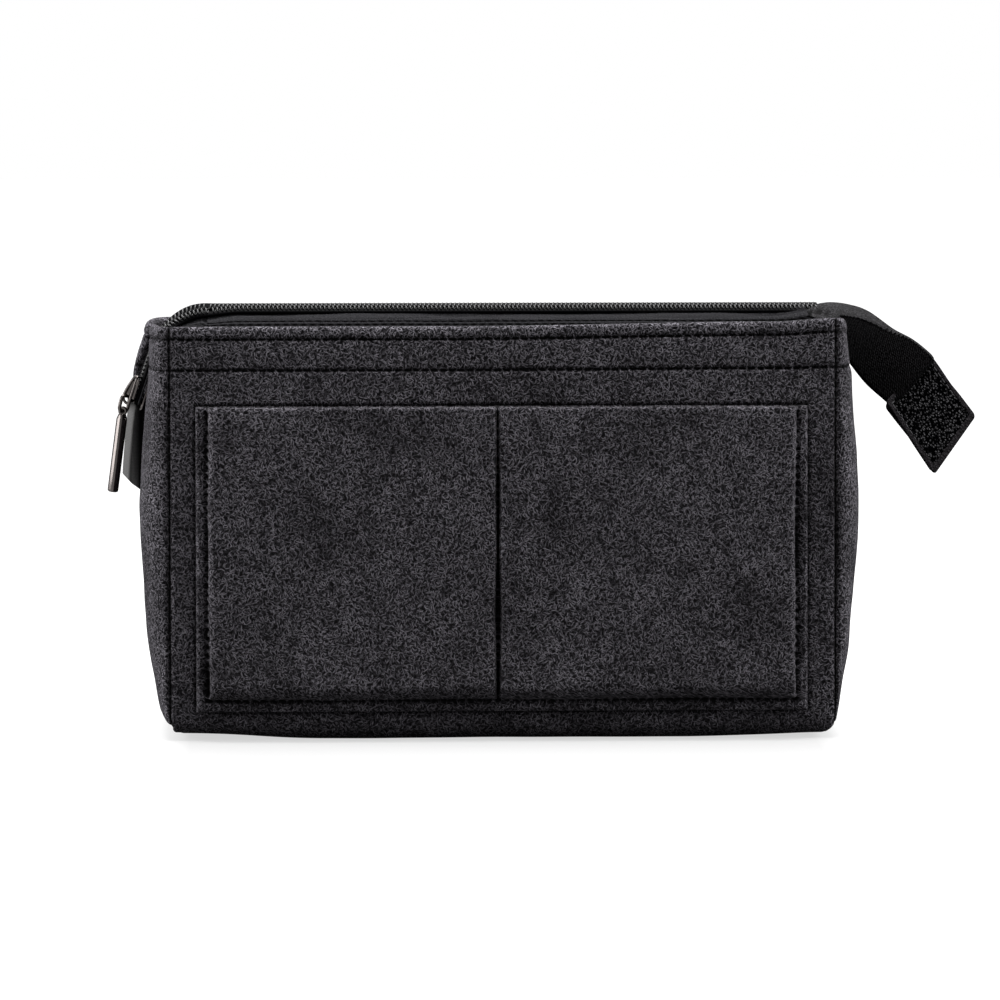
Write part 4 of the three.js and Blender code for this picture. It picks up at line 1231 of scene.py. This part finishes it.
def strap(path, normal, width, thickness, corner=0.3):
    """A strap of rounded rectangular section along a path; normal is its broad face's direction."""
    tangent = unit(np.gradient(path, axis=0))
    across = unit(np.cross(tangent, normal))
    up = np.cross(across, tangent)
    section = squared_circle(16, 1 / 3 + corner * 0.4, 0.5) * np.array([width / 2, thickness / 2])
    rings = path[:, None] + section[:, :1] * across[:, None] + section[:, 1:] * up[:, None]
    return capped(rings.reshape(-1, 3), ring_faces(len(path), 16), 16)


def curve_through(points, count):
    """Points along a smooth curve through the given ones: a Catmull-Rom spline with even spans."""
    points = np.asarray(points, float)
    padded = np.concatenate([[2 * points[0] - points[1]], points, [2 * points[-1] - points[-2]]])
    t = np.linspace(0, len(points) - 1 - 1e-9, count)
    k = t.astype(int)
    f = (t - k)[:, None]
    p0, p1, p2, p3 = (padded[k + n] for n in range(4))
    curve = 2 * p1 + (p2 - p0) * f
    return 0.5 * (curve + (2 * p0 - 5 * p1 + 4 * p2 - p3) * f**2 + (3 * p1 - p0 - 3 * p2 + p3) * f**3)


def facing_out_part(part):
    """A closed part's points and faces, its faces turned round if they point inwards."""
    points, faces = part
    a, b, c, d = (points[faces[:, k]] for k in range(4))
    volume = (np.cross(b, c) * a + np.cross(c, d) * a).sum()
    return (points, faces) if volume > 0 else (points, faces[:, ::-1])


def joined(name, parts):
    """One mesh of several closed parts, each given as its points and faces."""
    offset = 0
    points, faces = [], []
    for part_points, part_faces in map(facing_out_part, parts):
        points.append(part_points)
        faces.append(part_faces + offset)
        offset += len(part_points)
    return facing_out(grid_mesh(name, np.concatenate(points), np.concatenate(faces)))


def on_slider(points):
    """Points of the slider's own frame (up the chain, across, outward) put into place."""
    origin = beside_zip(np.array(SLIDER_CENTRE), 0, 0)
    return origin + points @ np.stack([side_up, ACROSS, side_out])


def straight_line(start, end, count):
    """Evenly spaced points from start to end, given in millimetres."""
    return np.linspace(start, end, count) * MM


outline = slider_outline()
parts = [
    stacked(outline, rounded_levels(CHANNEL, CHANNEL + PLATE, 0.35 * MM)),
    stacked(outline, rounded_levels(-INNER_PLATE - PLATE, -INNER_PLATE, 0.3 * MM)),
]
for side in (-1, 1):
    rail = straight_line((-2.8, side * RAIL_ACROSS, 0.9), (4.2, side * RAIL_ACROSS, 0.9), 12)
    parts.append(strap(rail, ACROSS, 1.1 * MM, 0.7 * MM))
round_post = POST_RADIUS * squared_circle(16, 1) + np.array([POST_UP, 0])
parts.append(stacked(round_post, [(0, -CHANNEL - 1.7 * MM), (0, CHANNEL + 0.4 * MM)]))
crown_foot = np.array([0, 0, CHANNEL + PLATE / 2])
crown_points = np.array([
    [5.0, 0, 0],
    [4.5, 0, 0.9],
    [2.0, 0, 1.7],
    [-0.5, 0, 2.3],
    [-2.4, 0, 2.5],
    [-4.1, 0, 2.1],
    [-5.0, 0, 1.0],
    [-5.0, 0, 0],
])
crown_line = curve_through(crown_points * MM, 56) + crown_foot
crown_normal = np.gradient(crown_line, axis=0)[:, [2, 1, 0]] * np.array([-1, 0, 1])
parts.append(strap(crown_line, crown_normal, 3.0 * MM, 1.0 * MM, 0.9))
web_line = straight_line((3.4, 0, 0.4), (-2.2, 0, 1.2), 8) + crown_foot
parts.append(strap(web_line, np.array([0, 0, 1.0]), 1.8 * MM, 1.9 * MM))
parts = [(on_slider(points), faces) for points, faces in parts]
place(joined("slider_body", parts), GUNMETAL, "gunmetal", "slider", "zip_slider")


# Pull link and bar
# A wire link through the crown carries a softly four-sided bar with an eyed top and a domed end.
LINK_WIRE = 1.35 * MM
LINK_WIDTH = 5.8 * MM
LINK_LENGTH = 5.2 * MM
LINK_SLACK = 0.2 * MM  # how far the link runs on past each of its two pivots
BAR_LENGTH = 28.8 * MM
BAR_WIDTH = 3.85 * MM
BAR_LEAN = math.radians(7.4)
BAR_SQUARENESS = 3.2
BAR_TURN = math.radians(48)  # one of its four soft faces looks out and to the front
BAR_DRAWN_IN = 0.88  # so that it is no wider across its corners
BAR_DOME = 0.9 * MM
EYE_RADIUS = 1.05 * MM
EYE_GIRTH = 0.62 * MM
EYE_HALF_WIDTH = 0.95 * MM
LINK_TURN = math.radians(40)
joint_at = {joint["name"]: np.array(joint["pos_m"]) for joint in frame["joints"] if "pos_m" in joint}
link_pivot = joint_at["link_swing"]
bar_pivot = joint_at["bar_swing"]
link_down = unit(bar_pivot - link_pivot)
link_across = math.cos(LINK_TURN) * ACROSS + math.sin(LINK_TURN) * np.cross(link_down, ACROSS)
link_reach = LINK_LENGTH + 2 * LINK_SLACK
loop = squared_circle(48, 2 / 3.2) * np.array([link_reach, LINK_WIDTH - LINK_WIRE]) / 2
loop += np.array([link_reach / 2 - LINK_SLACK, 0])
path = link_pivot + loop[:, :1] * link_down + loop[:, 1:] * link_across
link = tube("pull_link_wire", path, LINK_WIRE / 2, 12, np.cross(link_down, link_across), closed=True)
place(link, GUNMETAL, "gunmetal", "link", "pull_link")

bar_down = np.array([-math.sin(BAR_LEAN), 0, -math.cos(BAR_LEAN)])
bar_out = np.array([-math.cos(BAR_LEAN), 0, math.sin(BAR_LEAN)])
radius = BAR_WIDTH / 2
dome = np.linspace(0, math.pi / 2, 7)
profile = [(1.2 * MM, 1.0 * MM), (1.4 * MM, 1.3 * MM), (radius - 0.1 * MM, 2.6 * MM), (radius, 3.0 * MM)]
profile += [
    (radius - BAR_DOME * (1 - math.cos(a)), BAR_LENGTH - BAR_DOME * (1 - math.sin(a))) for a in dome
]
quarter = np.array([[math.cos(BAR_TURN), math.sin(BAR_TURN)], [-math.sin(BAR_TURN), math.cos(BAR_TURN)]])
section = squared_circle(28, 2 / BAR_SQUARENESS) @ quarter * BAR_DRAWN_IN
rings = [np.concatenate([r * section, np.full((28, 1), down)], 1) for r, down in profile]
rod = capped(np.concatenate(rings), ring_faces(len(profile), 28), 28)


def eye_ring():
    """The bar's eye: a flattened ring round the link's wire, as rings of a rounded section."""
    around = squared_circle(28, 1)[:, None]
    radial = EYE_RADIUS + EYE_GIRTH * squared_circle(12, 1)[:, 0]
    wide = EYE_HALF_WIDTH * squared_circle(12, 0.6)[:, 1]
    points = np.stack([around[..., 0] * radial, np.tile(wide, (28, 1)), around[..., 1] * radial], -1)
    return points.reshape(-1, 3), ring_faces(28, 12, closed=True)


neck = strap(straight_line((0, 0, 1.5), (0, 0, 3.6), 6), np.array([1.0, 0, 0]), 1.7 * MM, 1.7 * MM)
on_bar = np.stack([bar_out, ACROSS, bar_down])
parts = [(bar_pivot + points @ on_bar, faces) for points, faces in (rod, eye_ring(), neck)]
place(joined("pull_bar_polished", parts), GUNMETAL, "gunmetal", "bar", "pull_bar")


# End flap
# The two tape ends below the slider, pressed flat together and cut on a slant. Their pale grey is a painted
# sheen, and beside the gusset and at the top they are painted dark as shade.
FLAP_RISE = 3.8 * MM  # how far the ends reach up behind the slider
FLAP_WIDTH = 15.2 * MM
FLAP_THICKNESS = 1.6 * MM
FLAP_CUT = 4.6 * MM
FLAP_TURN = math.radians(16)
FLAP_FOOT = 4.1 * MM
FLAP_FOOT_TURN = math.radians(25)
FLAP_START = -1 * MM
flap_low, flap_high = box_of("zip_end_flap")
flap_top = flap_high[2] + FLAP_RISE
flap_length = flap_top - flap_low[2]
v, w = np.meshgrid(np.linspace(0, 1, 30), places(0, FLAP_WIDTH, 0.5 * MM, edge=FLAP_THICKNESS / 2))
leaving = np.minimum(w, FLAP_FOOT)
beyond = w - leaving
standing_out = leaving * math.cos(FLAP_FOOT_TURN) + beyond * math.sin(FLAP_TURN)
length = flap_length - FLAP_CUT * standing_out / standing_out.max()
ease = 0.5 - 0.5 * np.cos(v * math.pi)
height = flap_top - ease * length
x = -(SEAM_HALF + gusset_bulge(height)) - standing_out
y = FLAP_START + leaving * math.sin(FLAP_FOOT_TURN) + beyond * math.cos(FLAP_TURN)
face = np.stack([x, y, height], -1)
flap_normal = np.array([-math.cos(FLAP_TURN), -math.sin(FLAP_TURN), 0])
# Painted shade: outside this lit share, towards the gusset and at the top, the flap is sunk and darkened
pale = ramp(w + 3.2 * MM * v, 3.0 * MM, 2.8 * MM) * ramp(v, 0.12, 0.2)
flap = felt_sheet("tape_end_flap", face, FLAP_THICKNESS, flap_normal, FULL_SHADE_DEPTH * (pale - 1))
FLAP_PAINTED_SHEEN = tape_material(
    "tape_end_painted_sheen",
    (0.102, 0.101, 0.101),
    (0.145, 0.144, 0.144),
    12000,
    0.0,
    0.03 * MM,
)
place(flap, FLAP_PAINTED_SHEEN, "tape", "pouch", "zip_end_flap")


# Tail
# Both tapes run on past the right gusset, their upper edge rolled over so that it catches the light, and
# their broad black face hanging down at the front to the tab. The rolled edge is coloured a paler grey felt
# than the tapes' black face: painted light.
TAIL_THICKNESS = 1.8 * MM
TAIL_REACH = 38 * MM
TAIL_START = -5.4 / 38
UNDER_BAND = -9.5 / 38
rim_corner = np.array([SEAM_HALF, 0, BODY_HEIGHT])
tail_upper = rim_corner + TAIL_REACH * np.array([
    [-0.092, 0.316, -0.01],
    [0.02, 0.303, 0.09],
    [0.1, 0.3, 0.113],
    [0.258, 0.263, 0.1],
    [0.429, 0.211, 0.045],
    [0.658, 0.158, -0.108],
    [0.842, 0.126, -0.2],
    [1, 0.092, -0.325],
    [1.05, 0.085, -0.395],
])
tail_lower = rim_corner + TAIL_REACH * np.array([
    [UNDER_BAND, -0.316, -0.03],
    [TAIL_START, -0.316, 0.0],
    [-0.016, -0.316, -0.045],
    [0.095, -0.289, -0.189],
    [0.218, -0.289, -0.368],
    [0.379, -0.303, -0.574],
    [0.571, -0.316, -0.747],
    [0.61, -0.32, -0.8],
])
TAIL_CROWN = 1.8 * MM
upper_line = curve_through(tail_upper, 90)
lower_line = curve_through(tail_lower, 90)
spread = lower_line - upper_line
along_line = unit(np.gradient(upper_line, axis=0) + np.gradient(lower_line, axis=0))
tail_normal = unit(np.cross(spread, along_line))
tail_normal *= np.sign(tail_normal[:, 2:3])


def tail_face(w, lift):
    """The tail's outer face: w from its upper edge at 0 to its lower edge at 1, lifted off it by lift."""
    crown = TAIL_CROWN * np.sin(math.pi * np.clip(w, 0, 1))
    off = crown + TAIL_THICKNESS / 2 + lift
    return upper_line[None] + w[..., None] * spread[None] + off[..., None] * tail_normal[None]


w = np.repeat(places(0, 1, 0.025, edge=0.03)[:, None], len(upper_line), 1)
tail = felt_sheet("tail_tape", tail_face(w, 0), TAIL_THICKNESS, tail_normal)
place(tail, BLACK_TAPE, "tape", "tail", "zip_tail")

STRIP_FROM = 0.02  # as shares of the tail's length
STRIP_TO = 0.97
STRIP_WIDTH = 9 * MM
STRIP_TAPE = 0.7 * MM
t = np.linspace(0, 1, len(upper_line))
strip_ends = [0.1, 0.31, 0.335, 0.36, 0.46, 0.56, 0.63, 0.7]
strip_share = np.interp(t, strip_ends, [1.35, 1.15, 0.85, 0.54, 0.34, 0.17, 0.09, 0.045])
kept = (t > STRIP_FROM) & (t < STRIP_TO)
share = places(0, 1, 0.05, edge=0.08)[:, None]
selvage = 0.4 * MM * np.where(np.arange(len(t)) % 2, 1, -1) / np.linalg.norm(spread, axis=1)
w = share * (strip_share + selvage * (share > 0.85)) - 0.02 * (1 - share)
strip_lift = 0.6 * MM - 0.75 * MM * ramp(t, 0.5, 0.28)
sewn = stitched_groove((share - 0.6) * STRIP_WIDTH, t * TAIL_REACH, 1.4 * MM, 0.7 * MM)
sewn = sewn + stitched_groove((share - 0.86) * STRIP_WIDTH, t * TAIL_REACH, 1.2 * MM, 0.6 * MM)
sewn = (sewn * (1 - ramp(t, 0.26, 0.05)))[:, kept]
face = tail_face(w, strip_lift)[:, kept]
strip = felt_sheet("tail_rolled_strip", face, STRIP_TAPE, tail_normal[kept], sewn)
# Painted light: the rolled edge of the black tape gets a paler grey where it catches the overhead light
STRIP_PAINTED_LIT = felt_material("strip_felt_painted_lit", (0.006, 0.006, 0.006), (0.066, 0.063, 0.068))
place(strip, STRIP_PAINTED_LIT, "tape", "tail")


# Tab
# Two leaves of black pebbled leatherette over the tail's end, sewn together a little inside their edge.
TAB_LEAF = 1.0 * MM
TAB_CORNER = 1.4 * MM
TAB_SEAM = 2 * MM
TAB_BED = 0.5 * MM  # how far the middle lies below the padded border
TAB_STITCH_PITCH = 2.6 * MM
TAB_DROOP = 0.9 * MM
TAB_SHOWING = np.array([0.9, 0, -0.5]) * MM
LEAF_OFFSET = 0.6 * MM + TAB_LEAF
tab_root = np.array([[151.6, 4.6, 130.6], [134.6, -13, 114.6]]) * MM
tab_far = np.array([[168.3, 1.5, 109.6], [152.0, -15, 90.5]]) * MM
tab_length = np.linalg.norm(tab_far.mean(0) - tab_root.mean(0))
tab_width = np.linalg.norm(tab_root[1] - tab_root[0])
tab_normal = unit(np.cross(tab_root[1] - tab_root[0], tab_far.mean(0) - tab_root.mean(0)))
tab_normal = tab_normal * np.sign(tab_normal[2])


def pebble_group():
    """Pebbled grain: small cells with soft valleys between them, and shinier tops."""
    group, given, made = node_group(
        "pebble_grain",
        [("Place", "NodeSocketVector", None), ("Cells", "NodeSocketFloat", 900.0)],
        [("Height", "NodeSocketFloat"), ("Tops", "NodeSocketFloat")],
    )
    at, cell_count = given.outputs[:2]
    grid = {"Vector": at, "Scale": cell_count, "Smoothness": 0.35, "Randomness": 0.9}
    cells = new_node(group, "TexVoronoi", grid, feature="SMOOTH_F1")
    dome = minus(group, 1.0, cells.outputs["Distance"])
    height = plus(group, dome, times(group, noise(group, at, 2600, 2.0), 0.25))
    tops = times(group, minus(group, dome, 0.45), 1.8)
    group.links.new(height, made.inputs["Height"])
    group.links.new(at_least(group, tops, 0.0), made.inputs["Tops"])
    return group


def leather_material():
    """Black pebbled leatherette: grey tops over dark valleys, paler in the bed, and its sewn groove painted
    black as shade.
    """
    finish, tree, shader = bare_material("pebbled_leatherette", {"Specular IOR Level": 0.0})
    given = {"Place": object_place(tree), "Cells": 1100.0}
    pebbles = new_node(tree, "Group", given, node_tree=pebble_group())
    tops = pebbles.outputs["Tops"]
    sunk = times(tree, painted_shade_in(tree), 2.0)
    in_bed = math_node(tree, "MINIMUM", sunk, 1.0)
    # Painted shade: the pale tops are dropped in the sewn groove, which leaves it near black
    in_groove_shade = at_least(tree, minus(tree, sunk, 1.0), 0.0)
    valleys = mix_colours(tree, in_bed, (0.011, 0.010, 0.011, 1), (0.0004, 0.0004, 0.0005, 1))
    pale_tops = mix_colours(tree, in_bed, (0.036, 0.034, 0.037, 1), (0.105, 0.103, 0.108, 1))
    pale = times(tree, math_node(tree, "POWER", tops, 1.8), minus(tree, 1.0, in_groove_shade))
    tree.links.new(mix_colours(tree, pale, valleys, pale_tops), shader.inputs["Base Color"])
    tree.links.new(minus(tree, 0.62, times(tree, tops, 0.22)), shader.inputs["Roughness"])
    bump(tree, shader, pebbles.outputs["Height"], 1.0, 0.6 * MM)
    return finish


LEATHERETTE = leather_material()


def tab_face(a, b, offset):
    """A leaf's face, a along the tab and b across it, at an offset along the tab's normal.

    Its corners are rounded, its far end droops, and the two leaves close up towards it.
    """
    near_corner = np.clip(1 - np.minimum(b, tab_width - b) / TAB_CORNER, 0, 1)
    pull_in = TAB_CORNER * (1 - np.sqrt(1 - near_corner**2))
    along = 0.5 + (a / tab_length - 0.5) * (1 - 2 * pull_in / tab_length)
    across = (b / tab_width)[..., None]
    root = tab_root[0] + across * (tab_root[1] - tab_root[0])
    far = tab_far[0] + across * (tab_far[1] - tab_far[0])
    droop = -TAB_DROOP * along**2
    closing = offset * (1 - 0.6 * smooth(along * 1.5))
    return root + along[..., None] * (far - root) + (closing + droop)[..., None] * tab_normal


def tab_leaf(name, node, offset, showing):
    """One leaf: a four-cornered patch, wider at its far end, whose face dips along its seam.

    The lower leaf is showing past the upper one at the right and the bottom.
    """
    a = places(0, tab_length, 0.5 * MM, [TAB_SEAM, tab_length - TAB_SEAM], edge=TAB_LEAF / 2)
    b = places(0, tab_width, 0.5 * MM, [TAB_SEAM, tab_width - TAB_SEAM], edge=TAB_LEAF / 2)
    grid_a, grid_b = np.meshgrid(a, b)
    from_end = np.minimum(grid_a, tab_length - grid_a)
    from_side = np.minimum(grid_b, tab_width - grid_b)
    seam = np.minimum(from_end, from_side) - TAB_SEAM
    groove = stitched_groove(seam, grid_a + grid_b, 0.6 * MM, 0.35 * MM)
    relief = groove - TAB_BED * smooth(0.5 + seam / (0.8 * MM))
    face = tab_face(grid_a, grid_b, offset) + showing * TAB_SHOWING
    piece = felt_sheet(name, face, TAB_LEAF, math.copysign(1, offset) * tab_normal, relief)
    place(piece, LEATHERETTE, "leatherette", "tail", node)


tab_leaf("tab_leaf_upper", "tab_upper_leaf", LEAF_OFFSET, 0)
tab_leaf("tab_leaf_lower", "tab_lower_leaf", -LEAF_OFFSET, 1)

lengthwise, crosswise = (
    np.arange(TAB_SEAM, end - TAB_SEAM, TAB_STITCH_PITCH) + TAB_STITCH_PITCH / 2
    for end in (tab_length, tab_width)
)
rows = []
for a, b in (
    (lengthwise, np.full_like(lengthwise, TAB_SEAM)),
    (lengthwise, np.full_like(lengthwise, tab_width - TAB_SEAM)),
    (np.full_like(crosswise, TAB_SEAM), crosswise),
    (np.full_like(crosswise, tab_length - TAB_SEAM), crosswise),
):
    on_leaf = tab_face(a, b, LEAF_OFFSET)
    rows.append(stitch_row(on_leaf - 0.35 * MM * tab_normal, np.gradient(on_leaf, axis=0), tab_normal))
rows = [np.concatenate(part) for part in zip(*rows)]
GREY_THREAD = thread_material("dark_grey_thread", (0.045, 0.044, 0.047), 0.5, 0.1)
place(stitches("tab_stitches", *rows, 1.9 * MM, 0.26 * MM), GREY_THREAD, "leatherette", "tail")


# Floor and light
# A white sweep that stays white to the eye but keeps the pouch's contact shadow, under a soft overhead
# light and two soft side lights, as in a product tent.
FLOOR_HALF = 6.0
POUCH_MIDDLE = np.array([0, 0, 0.07])
floor_points = np.array([[-1, -1, 0], [1, -1, 0], [1, 1, 0], [-1, 1, 0]]) * FLOOR_HALF
floor = grid_mesh("floor", floor_points, np.array([[0, 1, 2, 3]]))
sweep = bpy.data.materials.new("white_sweep")
sweep.use_nodes = True
tree = sweep.node_tree
tree.nodes.clear()
dim = new_node(tree, "BsdfDiffuse", {"Color": (0.12, 0.12, 0.12, 1)})
shaded = new_node(tree, "BsdfDiffuse", {"Color": (0.17, 0.17, 0.17, 1)})
at = object_place(tree)
# The floor's own glow is weaker near the pouch, so that its contact shadow shows, and stronger past its two
# ends, where it is painted light that washes out the pouch's side shadows
reach = new_node(tree, "VectorMath", {0: at}, operation="LENGTH").outputs["Value"]
sideways = math_node(tree, "ABSOLUTE", new_node(tree, "SeparateXYZ", {0: at}).outputs[0])
past_ends = math_node(tree, "DIVIDE", minus(tree, sideways, 0.108), 0.02)
far_off = math_node(tree, "DIVIDE", minus(tree, reach, 0.15), 0.2)
fade = math_node(tree, "MINIMUM", at_least(tree, at_least(tree, far_off, past_ends), 0.0), 1.0)
glow = new_node(tree, "Emission", {"Strength": plus(tree, times(tree, fade, 0.45), 0.61)})
seen = new_node(tree, "AddShader", {0: shaded.outputs[0], 1: glow.outputs[0]})
rays = new_node(tree, "LightPath", {}).outputs
direct = at_least(tree, rays["Is Camera Ray"], rays["Is Glossy Ray"])
chosen = new_node(tree, "MixShader", {0: direct, 1: dim.outputs[0], 2: seen.outputs[0]})
new_node(tree, "OutputMaterial", {0: chosen.outputs[0]})
floor.data.materials.append(sweep)
floor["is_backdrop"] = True

SKY_LIGHT = 0.1  # what the world lends to the pouch; it shows white to the eye and in the metal
world = bpy.data.worlds.new("studio")
bpy.context.scene.world = world
world.use_nodes = True
tree = world.node_tree
sky = tree.nodes["Background"]
sky.inputs["Color"].default_value = (1, 1, 1, 1)
rays = new_node(tree, "LightPath", {}).outputs
shown = at_least(tree, rays["Is Glossy Ray"], rays["Is Transmission Ray"])
shown = at_least(tree, rays["Is Camera Ray"], shown)
strength = plus(tree, times(tree, shown, 1 - SKY_LIGHT), SKY_LIGHT)
tree.links.new(strength, sky.inputs["Strength"])


def soft_light(name, place_at, size, power):
    """A square area lamp of a size in metres at a place, turned to the pouch's middle."""
    lamp = bpy.data.lights.new(name, "AREA")
    lamp.shape = "SQUARE"
    lamp.size = size
    lamp.energy = power
    holder = bpy.data.objects.new(name, lamp)
    way = unit(np.array(place_at) - POUCH_MIDDLE)
    holder.location = place_at
    holder.rotation_euler = (math.acos(way[2]), 0, math.atan2(way[1], way[0]) + math.pi / 2)
    bpy.context.collection.objects.link(holder)


soft_light("overhead_soft", (0.0, 0.1, 1.4), 1.1, 50)
soft_light("left_soft", (-1.5, -0.1, 0.5), 0.9, 27)
soft_light("right_soft", (1.5, -0.1, 0.5), 0.9, 26)

low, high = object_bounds()
